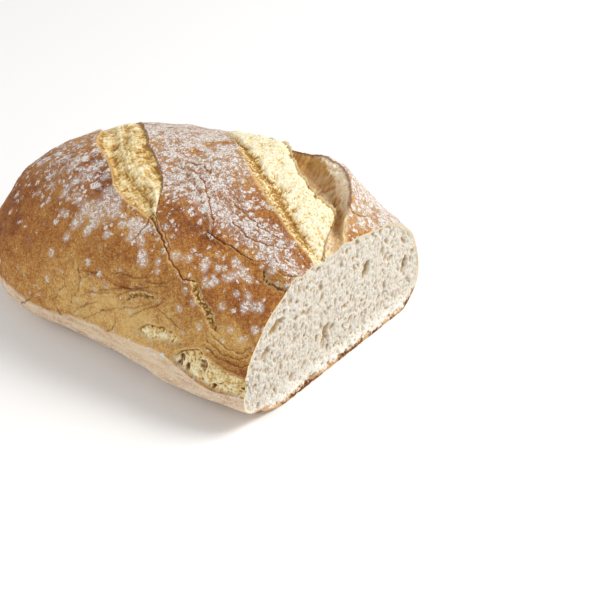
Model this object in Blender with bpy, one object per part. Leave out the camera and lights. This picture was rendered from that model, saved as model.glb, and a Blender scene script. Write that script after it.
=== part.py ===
"""A sourdough country loaf with one end sliced off: a single solid, in metres, +Z up.

The long axis lies along X. The cut faces +X, the rounded end points to -X, and the side with the
low tears faces -Y. The loaf rests on the flat patch of its base at z = 0.

The crust is one sheet. A place on it is named by two numbers: the distance from the cut in
millimetres, and the turn around the section, from 0 at the front edge of the base over 0.5 at the
crest to 1 at the back edge of the base.
"""

import bmesh
import bpy
import numpy as np

MM = 0.001

# Sizes of the plain body, millimetres
LENGTH = 189.0  # from the cut to the tip of the rounded end
HALF_WIDTH = 67.5  # of the section at the cut
CUT_HEIGHT = 64.0  # of the body at the cut, between the lips of the wide score
CROWN_HEIGHT = 87.5  # that the crown would reach if the end did not round off
CROWN_PLACE = 0.46  # share of the length at which the crown stops rising
FRONT_SHOULDER = 13.5  # height of the widest line, front
BACK_SHOULDER = 18.5
FRONT_UNDERCUT = 30.5  # how far the base edge lies inside the widest line, front
BACK_UNDERCUT = 15.7
END_UNDERCUT = 11.0
TIP_HEIGHT = 23.6
FRONT_SQUARENESS = 2.28  # exponents of the section, 2 is an ellipse
BACK_SQUARENESS = 2.41
FRONT_END_SQUARENESS = 3.38  # exponents of the rounded end seen from above
BACK_END_SQUARENESS = 3.0
CROWN_FALL = 2.78  # exponent of the crown's fall to the tip
BELLY = 1.028  # how much wider the middle is than the cut
FRONT_CHAMFER = 1.4  # exponents of the undercut, 1 is a straight chamfer
BACK_CHAMFER = 2.0
LOWER_SHARE = 0.13  # of the turn, on each side, that lies under the widest line
GIRTH = 250.0  # millimetres of girth for a whole turn

# Middle line of the loaf, as a shift in Y
SHIFT_AT_CUT = 1.8
SHIFT_AT_TIP = -3.9
CREST_LEAN = 2.3

# The wide score: its edges as (distance from the cut, turn)
WIDE_LIP = (
    (0, 0.455), (12, 0.462), (20, 0.469), (28, 0.481), (38, 0.492), (48, 0.503),
    (59, 0.520), (76, 0.565), (92, 0.615), (108, 0.665), (120, 0.690), (189, 0.600),
)
WIDE_RIDGE = (
    (0, 0.476), (3, 0.484), (5, 0.495), (8, 0.511), (11, 0.523), (16, 0.532), (25, 0.544),
    (32, 0.556), (39, 0.565), (49, 0.585), (60, 0.607), (76, 0.641), (95, 0.672),
    (120, 0.705), (189, 0.660),
)
WIDE_RIM = (
    (0, 0.502), (4, 0.513), (8, 0.537), (11, 0.560), (16, 0.590), (22, 0.611), (30, 0.630),
    (38, 0.640), (46, 0.647), (56, 0.655), (66, 0.668), (80, 0.687), (100, 0.706),
    (120, 0.720), (189, 0.720),
)
WIDE_END = (84.0, 120.0)  # distances over which the wide score dies away
EAR_HEIGHT = (
    (0, 1.8), (6, 2.8), (10, 3.8), (16, 5.8), (23, 7.5), (30, 8.3), (37, 7.9), (44, 6.6),
    (50, 3.9), (58, 1.9), (75, 1.1), (100, 0.4), (120, 0.0),
)
CAVITY_DEPTH = (
    (0, 2.4), (4, 5.0), (10, 8.0), (20, 9.5), (35, 9.5), (48, 7.0), (58, 4.5), (75, 2.6),
    (95, 1.6), (120, 0.0),
)
EAR_FALL = 16.0  # millimetres of girth over which the ear runs out into the back flank
BLOOM_PROFILE = (
    (0.0, -0.2), (0.06, -1.5), (0.22, -2.2), (0.42, -0.8), (0.66, 1.7), (0.86, 2.9), (1.0, 2.3),
)

# The narrow score: its lips, and across it from the front lip
NARROW_FRONT_LIP = (
    (0, 0.300), (40, 0.314), (60, 0.326), (67, 0.338), (72, 0.347), (79, 0.353), (85, 0.355),
    (93, 0.366), (99, 0.374), (106, 0.400), (116, 0.440), (127, 0.470), (138, 0.496),
    (148, 0.532), (158, 0.565), (189, 0.520),
)
NARROW_BACK_LIP = (
    (0, 0.340), (40, 0.345), (60, 0.344), (67, 0.344), (70, 0.358), (73, 0.379), (76, 0.402),
    (81, 0.428), (86, 0.451), (95, 0.475), (104, 0.490), (112, 0.509), (130, 0.569),
    (142, 0.594), (152, 0.602), (158, 0.590), (189, 0.560),
)
NARROW_ENDS = (66.0, 71.0, 144.0, 157.0)  # distances over which it opens and closes
NARROW_PROFILE = (
    (0.0, 0.8), (0.05, -1.0), (0.12, -1.8), (0.25, -1.6), (0.45, -0.4), (0.65, 0.2),
    (0.82, -1.2), (0.93, -3.2), (0.97, -3.0), (1.0, 0.9),
)
NARROW_PIT = (125.0, 0.484, 6.5, 0.017, 2.6)  # distance, turn, half-sizes, depth

# Cracks: ((distance from the cut, turn), ...), half-width and depth in millimetres
CRACKS = (
    (((67, 0.339), (60, 0.326), (55, 0.314), (51, 0.305), (44, 0.292), (38, 0.294)), 0.9, 1.2),
    (((38, 0.290), (34, 0.278), (29, 0.269), (25, 0.263), (23, 0.247), (19, 0.243)), 1.5, 2.8),
    (((80, 0.346), (80, 0.322), (83, 0.299), (89, 0.289)), 0.8, 0.9),
    (((71, 0.369), (65, 0.379), (62, 0.396)), 0.8, 0.8),
    (((62, 0.453), (54, 0.429), (48, 0.414), (46, 0.394), (43, 0.379)), 0.8, 0.8),
    (((43, 0.379), (38, 0.383), (32, 0.380), (27, 0.387), (20, 0.390), (13, 0.381)), 1.1, 1.7),
    (((13, 0.381), (10, 0.374), (5, 0.374), (0, 0.378)), 1.3, 2.2),
    (((69, 0.219), (62, 0.228), (56, 0.230)), 1.2, 1.2),
)

# Tears low on the front, between an upper and a lower edge, and how deep their floor lies
FRONT_TEAR_TOP = ((35, 0.183), (40, 0.192), (49, 0.196), (58, 0.181), (66, 0.165))
FRONT_TEAR_FOOT = ((35, 0.181), (39, 0.174), (47, 0.169), (54, 0.164), (66, 0.163))
FRONT_TEAR_DEPTH = 2.4
CUT_TEAR_TOP = (
    (0, 0.175), (8, 0.168), (15, 0.172), (19, 0.181), (25, 0.179), (34, 0.175), (40, 0.158),
)
CUT_TEAR_FOOT = (
    (0, 0.141), (12, 0.131), (22, 0.125), (28, 0.131), (31, 0.143), (37, 0.144), (40, 0.152),
)
CUT_TEAR_DEPTH = 2.8

# A tucked fold of crust beside the cut, and the broken corner under the ear
FOLD = (4.0, 0.398, 11.0, 0.020, 2.2)  # distance, turn, half-sizes, height
CORNER = (9.0, 0.510, 0.610, 1.6)  # distance it reaches, turns, depth

# Holes in the crumb of the cut: (y, z, half-length, half-width, lean in degrees, depth)
CRUMB_HOLES = (
    (-43.6, 45.7, 6.6, 3.0, 38, 3.4), (-52.1, 35.1, 6.0, 2.3, 22, 2.6),
    (25.5, 43.7, 4.6, 2.2, 8, 2.6), (54.7, 30.0, 6.6, 2.0, 14, 3.4),
    (-5.2, 32.4, 5.0, 2.4, 24, 3.2), (-8.3, 39.8, 4.2, 2.8, 30, 2.8),
    (10.1, 44.5, 2.6, 1.7, 20, 1.8), (-18.3, 45.4, 2.8, 1.6, 30, 1.6),
    (-29.0, 33.9, 3.0, 1.6, 24, 1.6), (-31.3, 14.6, 3.8, 1.7, 14, 1.8),
    (17.0, 20.0, 2.8, 1.8, 12, 2.0), (-16.0, 1.9, 3.4, 1.6, 70, 2.4),
    (5.5, 1.4, 2.6, 1.5, 80, 2.2), (40.1, 18.3, 2.4, 1.6, 16, 1.8),
    (41.6, 52.4, 3.4, 1.4, 28, 1.6),
)

# Unevenness of the crust: wavelengths and heights in millimetres
SWELLS = ((61.0, 0.8), (33.0, 0.4), (15.0, 0.18))
WAVES_PER_SWELL = 5
SEED = 7

# Fineness of the sheet, and how many of its triangles are kept
STATIONS = 210
# Lines under the front, up the flank, in the narrow score, on to the wide score, on its bloom, in
# the cavity under the ear, down the back flank, and under the back
TURNS = (36, 76, 24, 34, 24, 34, 70, 36)
CUT_RINGS = 44
SOLE_POINTS = 90
TRIANGLES = 11400


def spline(place, knots):
    """The smooth curve through (place, value) knots, level beyond both ends."""
    places, values = np.array(knots, float).T
    slopes = np.gradient(values, places)
    left = np.clip(np.searchsorted(places, place, side="right") - 1, 0, len(places) - 2)
    span = places[left + 1] - places[left]
    u = np.clip((place - places[left]) / span, 0.0, 1.0)
    rise = values[left] * (1 + 2 * u) * (1 - u) ** 2 + values[left + 1] * u * u * (3 - 2 * u)
    return rise + span * u * (1 - u) * (slopes[left] * (1 - u) - slopes[left + 1] * u)


def step(low, high, value):
    """Rises smoothly from 0 at low to 1 at high."""
    u = np.clip((value - low) / (high - low), 0.0, 1.0)
    return u * u * (3 - 2 * u)


def body(share, turn):
    """Points of the plain body, for the share of the length from the cut and the turn."""
    share = np.clip(share, 0.0, 1.0)
    upper = (turn > LOWER_SHARE) & (turn < 1 - LOWER_SHARE)
    down = np.where(turn < 0.5, turn, 1 - turn) / LOWER_SHARE
    curl = np.clip(down, 0, 1) * np.pi / 2
    angle = np.clip((turn - LOWER_SHARE) / (1 - 2 * LOWER_SHARE), 0, 1) * np.pi
    across, up = np.abs(np.cos(angle)), np.abs(np.sin(angle))
    belly = 1 + (BELLY - 1) * np.sin(np.pi * np.clip(share / 0.8, 0, 1))
    rise = np.sin(np.pi / 2 * np.clip(share / CROWN_PLACE, 0, 1))
    crown = CUT_HEIGHT + (CROWN_HEIGHT - CUT_HEIGHT) * rise
    height = TIP_HEIGHT + (crown - TIP_HEIGHT) * np.sqrt(1 - share**CROWN_FALL)
    sides = []
    for end, square, undercut, shoulder, chamfer in (
        (FRONT_END_SQUARENESS, FRONT_SQUARENESS, FRONT_UNDERCUT, FRONT_SHOULDER, FRONT_CHAMFER),
        (BACK_END_SQUARENESS, BACK_SQUARENESS, BACK_UNDERCUT, BACK_SHOULDER, BACK_CHAMFER),
    ):
        taper = (1 - share**end) ** (1 / end)
        low = shoulder + (TIP_HEIGHT - shoulder) * share**5
        power = 2 / (chamfer + (2 - chamfer) * share**1.5)
        inward = 1 - np.sin(curl) ** power
        reach = HALF_WIDTH * belly * taper * across ** (2 / square)
        rim = (HALF_WIDTH * belly - undercut * inward) * taper
        lift = low + (height - low) * up ** (2 / square)
        under = low * (1 - np.cos(curl) ** power)
        sides.append((np.where(upper, reach, rim), np.where(upper, lift, under), inward))
    front, back = sides
    y = np.where(turn < 0.5, -front[0], back[0])
    z = np.where(turn < 0.5, front[1], back[1])
    inward = np.where(turn < 0.5, front[2], back[2])
    y = y + SHIFT_AT_CUT * (1 - share) + SHIFT_AT_TIP * share
    y = y + CREST_LEAN * np.sin(np.pi * share) * np.sin(angle)
    x = -(LENGTH - END_UNDERCUT * inward) * share
    return np.stack(np.broadcast_arrays(x, y, z), axis=-1)


def directions(share, turn):
    """Outward and around-the-section unit vectors of the plain body."""
    tip_share = share
    share = np.clip(share, 0.0005, 0.9985)
    along = body(share - 0.0005, turn) - body(share + 0.0005, turn)
    low, high = np.clip(turn - 0.001, 0, 1), np.clip(turn + 0.001, 0, 1)
    around = body(share, high) - body(share, low)
    outward = np.cross(along, around)
    outward /= np.linalg.norm(outward, axis=-1, keepdims=True) + 1e-9
    around /= np.linalg.norm(around, axis=-1, keepdims=True) + 1e-9
    down = np.clip(np.minimum(turn, 1 - turn) / LOWER_SHARE, 0, 1) * np.pi / 2
    ahead = np.stack([-TIP_HEIGHT * np.sin(down), 0 * down, -END_UNDERCUT * np.cos(down)], -1)
    ahead /= np.linalg.norm(ahead, axis=-1, keepdims=True)
    near_tip = step(0.985, 0.9985, tip_share)[..., None]
    outward = outward * (1 - near_tip) + ahead * near_tip
    return outward / np.linalg.norm(outward, axis=-1, keepdims=True), around


def swell(points):
    """Slow unevenness of the crust at the given points."""
    rng = np.random.default_rng(SEED)
    total = np.zeros(points.shape[:-1])
    for wavelength, height in SWELLS:
        for _ in range(WAVES_PER_SWELL):
            wave = rng.normal(size=3)
            wave *= 2 * np.pi / wavelength / np.linalg.norm(wave)
            total += height / 2 * np.sin(points @ wave + rng.uniform(0, 2 * np.pi))
    return total


def wide_score(place, turn):
    """Outward and sideways shift of the crust at the wide score and its ear."""
    lip, ridge, rim = (spline(place, knots) for knots in (WIDE_LIP, WIDE_RIDGE, WIDE_RIM))
    there = 1 - step(*WIDE_END, place)
    ear, depth = spline(place, EAR_HEIGHT), spline(place, CAVITY_DEPTH)
    ledge = BLOOM_PROFILE[-1][1] * step(1, 14, place) * there
    before = (lip - turn) * GIRTH
    crust = 0.9 * there * np.exp(-np.clip(before, 0, None) / 4.0)
    bloom = spline((turn - lip) / (ridge - lip), BLOOM_PROFILE) * there
    bloom = np.where(bloom > 0, bloom * step(1, 14, place), bloom)
    c = np.clip((turn - ridge) / (rim - ridge), 0, 1)
    falls = np.interp(c, (0, 0.12, 0.3, 0.5, 0.68, 0.8, 1), (0, 0.5, 0.92, 1, 0.6, 0.05, 0))
    climbs = np.interp(c, (0, 0.74, 0.8, 0.9, 1), (0, 0, 0.08, 0.62, 1))
    cavity = ledge * (1 - step(0, 0.12, c)) - depth * falls + ear * climbs
    lean = np.interp(c, (0, 0.12, 0.3, 0.5, 0.68, 0.8, 0.9, 1), (0, -1, 0, 1, 4.5, 6, 3.8, -0.8))
    after = (turn - rim) * GIRTH
    flank = ear * np.exp(-(np.clip(after - 1.5, 0, None) / EAR_FALL) ** 1.3)
    flank = flank + 0.5 * step(0, 1.2, after) * (1 - step(2, 6, after)) * ear / 8
    outward = np.where(turn < lip, crust, np.where(turn < ridge, bloom, cavity))
    outward = np.where(turn > rim, flank, outward)
    slide = np.where(turn > rim, -0.8 * (1 - step(0, 3, after)), lean * (turn > ridge))
    return outward, slide * ear / 8


def narrow_score(place, turn):
    """Outward shift of the crust at the narrow score."""
    front, back = spline(place, NARROW_FRONT_LIP), spline(place, NARROW_BACK_LIP)
    across = (turn - front) / (back - front)
    outer = np.where(across < 0.5, front - turn, turn - back) * GIRTH
    lips = NARROW_PROFILE[0][1] * np.exp(-np.clip(outer, 0, None) / 4.5)
    within = (across > 0) & (across < 1)
    rise = np.where(within, spline(across, NARROW_PROFILE), lips)
    at, around_at, length, breadth, depth = NARROW_PIT
    rise = rise - depth * np.exp(
        -(((place - at) / length) ** 2) - ((turn - around_at) / breadth) ** 2
    )
    opens, open_at, closes, closed_at = NARROW_ENDS
    return rise * step(opens, open_at, place) * (1 - step(closes, closed_at, place))


def groove(place, turn, line, half_width, depth):
    """A crack along a line of (distance from the cut, turn) points."""
    points = np.array(line, float) * (1, GIRTH)
    nearest = np.full(np.shape(place), np.inf)
    for a, b in zip(points, points[1:]):
        run = b - a
        u = ((place - a[0]) * run[0] + (turn * GIRTH - a[1]) * run[1]) / (run @ run)
        u = np.clip(u, 0, 1)
        gap = np.hypot(place - a[0] - u * run[0], turn * GIRTH - a[1] - u * run[1])
        nearest = np.minimum(nearest, gap)
    return -depth * np.exp(-((nearest / half_width) ** 2))


def tear(place, turn, top, foot, depth):
    """A torn hollow between an upper and a lower edge."""
    high, low = spline(place, top), spline(place, foot)
    inside = step(0, 0.007, turn - low) * step(0, 0.004, high - turn)
    across = np.clip((turn - low) / np.maximum(high - low, 0.004), 0, 1)
    ends = step(top[0][0] - 3, top[0][0], place) * (1 - step(top[-1][0] - 3, top[-1][0], place))
    return -depth * inside * ends * (0.45 + 0.55 * across)


def crust(share, turn):
    """Points of the crust with all its relief."""
    place = np.broadcast_to(share * LENGTH, np.broadcast(share, turn).shape)
    turn = np.broadcast_to(turn, place.shape)
    points = body(share, turn)
    outward, around = directions(share, turn)
    rise, slide = wide_score(place, turn)
    rise = rise + narrow_score(place, turn)
    for line, half_width, depth in CRACKS:
        rise = rise + groove(place, turn, line, half_width, depth)
    rise = rise + tear(place, turn, FRONT_TEAR_TOP, FRONT_TEAR_FOOT, FRONT_TEAR_DEPTH)
    rise = rise + tear(place, turn, CUT_TEAR_TOP, CUT_TEAR_FOOT, CUT_TEAR_DEPTH)
    at, around_at, length, breadth, height = FOLD
    rise = rise + height * np.exp(
        -(((place - at) / length) ** 4) - ((turn - around_at) / breadth) ** 4
    )
    reach, first, last, depth = CORNER
    rise = rise - depth * (1 - step(2, reach, place)) * step(first, first + 0.02, turn) * (
        1 - step(last, last + 0.03, turn)
    )
    base = step(0, 0.05, turn) * step(0, 0.05, 1 - turn)
    rise = (rise + swell(points)) * base
    return points + outward * rise[..., None] + around * slide[..., None]


def stations():
    """Shares of the length, set so that the rings lie evenly along the front outline."""
    fine = np.sin(np.linspace(0, np.pi / 2, 4000))
    outline = body(fine, np.full_like(fine, LOWER_SHARE + 0.001))
    travelled = np.concatenate([[0], np.linalg.norm(np.diff(outline, axis=0), axis=1).cumsum()])
    return np.interp(np.linspace(0, travelled[-1], STATIONS), travelled, fine)


def turns(place):
    """Turns of the lines at one distance from the cut, gathered at the edges of the wide score."""
    edges = (NARROW_FRONT_LIP, NARROW_BACK_LIP, WIDE_LIP, WIDE_RIDGE, WIDE_RIM)
    scores = [float(spline(place, knots)) for knots in edges]
    marks = [0.0, LOWER_SHARE, *scores, 1 - LOWER_SHARE, 1.0]
    parts = [
        np.linspace(a, b, count, endpoint=False) for a, b, count in zip(marks, marks[1:], TURNS)
    ]
    return np.concatenate([*parts, [1.0]])


def crumb_depth(y, z):
    """How far the crumb of the cut lies behind the plane of the cut."""
    depth = np.zeros(np.shape(y))
    for at_y, at_z, length, width, lean, deep in CRUMB_HOLES:
        turn = np.radians(lean)
        along = (y - at_y) * np.sin(turn) + (z - at_z) * np.cos(turn)
        beside = (y - at_y) * np.cos(turn) - (z - at_z) * np.sin(turn)
        inside = 1 - (along / length) ** 2 - (beside / width) ** 2
        depth = np.maximum(depth, deep * np.clip(inside, 0, 1))
    return depth


def cut_rings(outline):
    """Rings of points from the outline of the cut in to its middle."""
    middle = np.array([0.0, outline[:, 1].mean(), CUT_HEIGHT * 0.42])
    shares = np.linspace(1, 0, CUT_RINGS)[1:, None, None]
    points = middle + (outline - middle) * shares
    near_edge = step(0.0, 0.05, 1 - shares[..., 0]) * step(0.0, 1.5, points[..., 2])
    points[..., 0] = -crumb_depth(points[..., 1], points[..., 2]) * near_edge
    return points


def patches(index):
    """Quads between the rows of a table of vertex numbers."""
    corners = (index[:-1, :-1], index[1:, :-1], index[1:, 1:], index[:-1, 1:])
    return np.stack(corners, axis=-1).reshape(-1, 4)


def sheet():
    """Vertices and faces of the crust and the cut, open only at the flat of the base."""
    shares = stations()
    lines = np.array([turns(share * LENGTH) for share in shares])
    skin = crust(shares[:, None], lines)
    skin[:, (0, -1), 2] = 0.0
    skin[0, :, 0] = 0.0
    skin[..., 0] = np.minimum(skin[..., 0], 0.0)
    rows, columns = skin.shape[:2]
    sole = np.linspace(skin[0, -1], skin[0, 0], SOLE_POINTS + 2)[1:-1]
    rings = cut_rings(np.concatenate([skin[0], sole]))
    vertices = np.concatenate([skin.reshape(-1, 3), sole, rings.reshape(-1, 3)])
    index = np.arange(rows * columns).reshape(rows, columns)
    outline = np.concatenate([index[0], rows * columns + np.arange(SOLE_POINTS)])
    inner = rows * columns + SOLE_POINTS + np.arange(rings.shape[0] * rings.shape[1])
    cut = np.concatenate([outline[None], inner.reshape(rings.shape[:2])])
    cut = np.concatenate([cut, cut[:, :1]], axis=1)
    return vertices, np.concatenate([patches(index), patches(cut)[:, ::-1]])


def settle(vertices):
    """Places the origin under the middle of the loaf's bounding box, in metres."""
    low, high = vertices.min(axis=0), vertices.max(axis=0)
    return (vertices - [(low[0] + high[0]) / 2, (low[1] + high[1]) / 2, 0.0]) * MM


def thin_out(obj, ratio):
    """Keeps the given share of the triangles where the shape needs them."""
    thinner = obj.modifiers.new("thin", "DECIMATE")
    thinner.ratio = ratio
    thinner.use_collapse_triangulate = True
    evaluated = obj.evaluated_get(bpy.context.evaluated_depsgraph_get())
    mesh = bpy.data.meshes.new_from_object(evaluated)
    obj.modifiers.clear()
    obj.data = mesh


def close_base(obj):
    """Levels the open edge at z = 0 and fills it with the flat of the base."""
    shape = bmesh.new()
    shape.from_mesh(obj.data)
    rim = [edge for edge in shape.edges if edge.is_boundary]
    for vertex in {vertex for edge in rim for vertex in edge.verts}:
        vertex.co.z = 0.0
    bmesh.ops.triangle_fill(shape, edges=rim, use_beauty=True, normal=(0, 0, -1))
    bmesh.ops.recalc_face_normals(shape, faces=shape.faces)
    shape.to_mesh(obj.data)
    shape.free()


def crust_material():
    """Golden brown baked crust."""
    material = bpy.data.materials.new("crust")
    material.use_nodes = True
    shader = material.node_tree.nodes["Principled BSDF"]
    shader.inputs["Base Color"].default_value = (0.50, 0.29, 0.11, 1)
    shader.inputs["Roughness"].default_value = 0.78
    return material


def build():
    """Makes the loaf."""
    for obj in list(bpy.data.objects):
        bpy.data.objects.remove(obj)
    vertices, faces = sheet()
    mesh = bpy.data.meshes.new("loaf")
    mesh.from_pydata(settle(vertices).tolist(), [], faces.tolist())
    loaf = bpy.data.objects.new("loaf", mesh)
    bpy.context.scene.collection.objects.link(loaf)
    shape = bmesh.new()
    shape.from_mesh(mesh)
    bmesh.ops.remove_doubles(shape, verts=shape.verts, dist=0.001 * MM)
    shape.to_mesh(mesh)
    shape.free()
    mesh.calc_loop_triangles()
    thin_out(loaf, TRIANGLES / len(mesh.loop_triangles))
    close_base(loaf)
    loaf.data.materials.clear()
    loaf.data.materials.append(crust_material())
    for polygon in loaf.data.polygons:
        polygon.use_smooth = False


if __name__ == "__main__":
    build()
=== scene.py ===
"""A sourdough country loaf with one end sliced off, dressed and lit for a studio picture.

The crust is one sheet that wraps the loaf. A place on it is named by two numbers: the distance
from the cut in millimetres, and the turn around the section, from 0 at the front edge of the base
over 0.5 at the crest to 1 at the back edge of the base. The scores, the ear, the cracks and the
tears are relief on that sheet, which is cut into pieces along the lips of the scores.
"""

from __future__ import annotations

import logging
from dataclasses import dataclass, fields
from enum import Enum, IntEnum
from functools import partial, reduce

import bpy
import numpy as np
from mathutils import Matrix, Vector

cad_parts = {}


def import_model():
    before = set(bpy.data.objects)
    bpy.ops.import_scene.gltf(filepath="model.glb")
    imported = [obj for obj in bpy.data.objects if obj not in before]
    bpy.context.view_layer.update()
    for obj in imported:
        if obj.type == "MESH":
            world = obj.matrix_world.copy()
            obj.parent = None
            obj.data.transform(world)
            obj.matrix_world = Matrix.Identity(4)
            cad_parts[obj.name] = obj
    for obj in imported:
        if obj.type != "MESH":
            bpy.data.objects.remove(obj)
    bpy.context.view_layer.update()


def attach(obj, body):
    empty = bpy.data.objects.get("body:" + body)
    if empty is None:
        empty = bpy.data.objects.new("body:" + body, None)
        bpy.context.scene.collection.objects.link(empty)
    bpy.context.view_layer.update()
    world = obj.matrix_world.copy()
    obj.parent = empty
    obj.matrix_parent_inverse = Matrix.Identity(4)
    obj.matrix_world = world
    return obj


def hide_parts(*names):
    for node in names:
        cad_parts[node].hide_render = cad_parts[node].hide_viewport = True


log = logging.getLogger("loaf")

MM = 0.001
PICTURE_WIDTH = 600
GIRTH = 250.0  # millimetres of girth for a whole turn

Knots = tuple[tuple[float, float], ...]
Paint = tuple[int, int, int]
Stops = tuple[tuple[float, Paint], ...]
Size = float | tuple[float, ...]
Vec = tuple[float, float, float]


class Slot(Enum):
    """Material slots of the loaf's record."""

    CRUST = "crust"
    CRUMB = "crumb"


class Line(IntEnum):
    """Uneven lines along the loaf, each with a noise of its own."""

    LIP = 1
    RIDGE = 2
    RIM = 3
    NARROW_FRONT = 4
    NARROW_BACK = 5
    TEAR_TOP = 7
    TEAR_FOOT = 8
    NOTCHES = 9
    SINGE = 12
    EAR = 15
    EAR_FINE = 16


class Zone(Enum):
    """Strips of the crust, from the front edge of the base round to the back edge."""

    FRONT_FOOT = "front_foot_crust"
    FRONT = "front_crust"
    NARROW = "narrow_score_bloom"
    CROWN = "crown_crust"
    WIDE = "wide_score_bloom"
    EAR = "ear_hollow"
    BACK = "back_crust"
    BACK_FOOT = "back_foot_crust"


def spline(place: np.ndarray, knots: Knots) -> np.ndarray:
    """The smooth curve through (place, value) knots, level beyond both ends.

    Args:
        place: Where the curve is read.
        knots: The (place, value) pairs, in rising order of place.

    Returns:
        The curve's values.
    """
    places, values = np.array(knots, float).T
    slopes = np.gradient(values, places)
    left = np.clip(np.searchsorted(places, place, side="right") - 1, 0, len(places) - 2)
    span = places[left + 1] - places[left]
    u = np.clip((place - places[left]) / span, 0.0, 1.0)
    rise = values[left] * (1 + 2 * u) * (1 - u) ** 2 + values[left + 1] * u * u * (3 - 2 * u)
    return rise + span * u * (1 - u) * (slopes[left] * (1 - u) - slopes[left + 1] * u)


def bent(place: np.ndarray, knots: Knots) -> np.ndarray:
    """The broken line through (place, value) knots, level beyond both ends."""
    return np.interp(place, *zip(*knots))


def step(low: float, high: float, value: np.ndarray) -> np.ndarray:
    """Rises smoothly from 0 at low to 1 at high."""
    u = np.clip((value - low) / (high - low), 0.0, 1.0)
    return u * u * (3 - 2 * u)


def bell(gap: np.ndarray, reach: float) -> np.ndarray:
    """A soft bump that is 1 where the gap is 0 and has died away at twice the reach."""
    return np.exp(-((gap / reach) ** 2))


def blurred(values: np.ndarray, reach: int) -> np.ndarray:
    """The values averaged over a square of the grid.

    Args:
        values: A table of values.
        reach: Half the width of the square, in cells.

    Returns:
        A table of the same shape.
    """
    for axis in (0, 1):
        padding = [(reach + 1, reach) if a == axis else (0, 0) for a in (0, 1)]
        total = np.cumsum(np.pad(values, padding, mode="edge"), axis=axis)
        width = 2 * reach + 1
        high = np.take(total, range(width, total.shape[axis]), axis=axis)
        low = np.take(total, range(total.shape[axis] - width), axis=axis)
        values = (high - low) / width
    return values


class Grain:
    """Seeded gradient noise, read at whole tables of points at once."""

    def __init__(self, seed: int) -> None:
        """Draws the noise's slopes.

        Args:
            seed: The same seed gives the same noise.
        """
        rng = np.random.default_rng(seed)
        order = rng.permutation(256)
        self.order = np.concatenate([order, order])
        slopes = rng.normal(size=(256, 3))
        slopes /= np.linalg.norm(slopes, axis=1, keepdims=True)
        self.slopes = slopes.astype(np.float32)

    def single(self, points: np.ndarray, size: Size) -> np.ndarray:
        """One octave.

        Args:
            points: Points in millimetres.
            size: The wavelength in millimetres, or one for each axis.

        Returns:
            Values from about -1 to 1.
        """
        scaled = points / np.array(size)
        cell = np.floor(scaled).astype(np.int64)
        part = (scaled - cell).astype(np.float32)
        cell &= 255
        ease = part**3 * (part * (part * 6 - 15) + 10)
        total = np.zeros(part.shape[:-1], np.float32)
        for corner in range(8):
            offset = (corner & 1, corner >> 1 & 1, corner >> 2)
            index = self.order[(cell[..., 0] + offset[0]) & 255] + cell[..., 1] + offset[1]
            index = self.order[index & 255] + cell[..., 2] + offset[2]
            slope = self.slopes[self.order[index & 255]]
            weight = np.ones_like(total)
            height = np.zeros_like(total)
            for axis in range(3):
                weight *= ease[..., axis] if offset[axis] else 1 - ease[..., axis]
                height += slope[..., axis] * (part[..., axis] - offset[axis])
            total += weight * height
        return 1.6 * total

    def octaves(self, points: np.ndarray, size: Size, count: int, apart: float) -> list[np.ndarray]:
        """Octaves of noise, each half as long as the one before.

        Args:
            points: Points in millimetres.
            size: The longest wavelength in millimetres, or one for each axis.
            count: How many octaves there are.
            apart: How far each is shifted from the one before, in millimetres.

        Returns:
            The octaves, each from about -1 to 1.
        """
        return [self.single(points + apart * k, np.array(size) / 2**k) for k in range(count)]

    def cloud(self, points: np.ndarray, size: Size, count: int, fade: float = 0.5) -> np.ndarray:
        """Several octaves added up.

        Args:
            points: Points in millimetres.
            size: The longest wavelength in millimetres, or one for each axis.
            count: How many octaves are added up.
            fade: Height of each octave as a share of the one before.

        Returns:
            Values from about -1 to 1.
        """
        heights = [fade**k for k in range(count)]
        octaves = self.octaves(points, size, count, 37.7)
        return sum(h * octave for h, octave in zip(heights, octaves)) / sum(heights) ** 0.5

    def lumps(self, points: np.ndarray, size: Size, count: int, fade: float = 0.5) -> np.ndarray:
        """Rounded lumps with sharp creases between them.

        Args:
            points: Points in millimetres.
            size: The longest wavelength in millimetres, or one for each axis.
            count: How many octaves are added up.
            fade: Height of each octave as a share of the one before.

        Returns:
            Values from 0 in a crease to about 1.
        """
        heights = [fade**k for k in range(count)]
        octaves = self.octaves(points, size, count, 51.3)
        return 1.8 * sum(h * np.abs(octave) for h, octave in zip(heights, octaves)) / sum(heights)

    def wander(self, place: np.ndarray, size: float, line: Line) -> np.ndarray:
        """Uneven line along the loaf.

        Args:
            place: Distances from the cut.
            size: The longest wavelength in millimetres.
            line: The line, which has a noise of its own.

        Returns:
            Values from about -1 to 1.
        """
        points = np.stack([place, np.full_like(place, line * 9.7), np.full_like(place, 3.1)], -1)
        return self.cloud(points, size, 3, 0.6)


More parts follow.
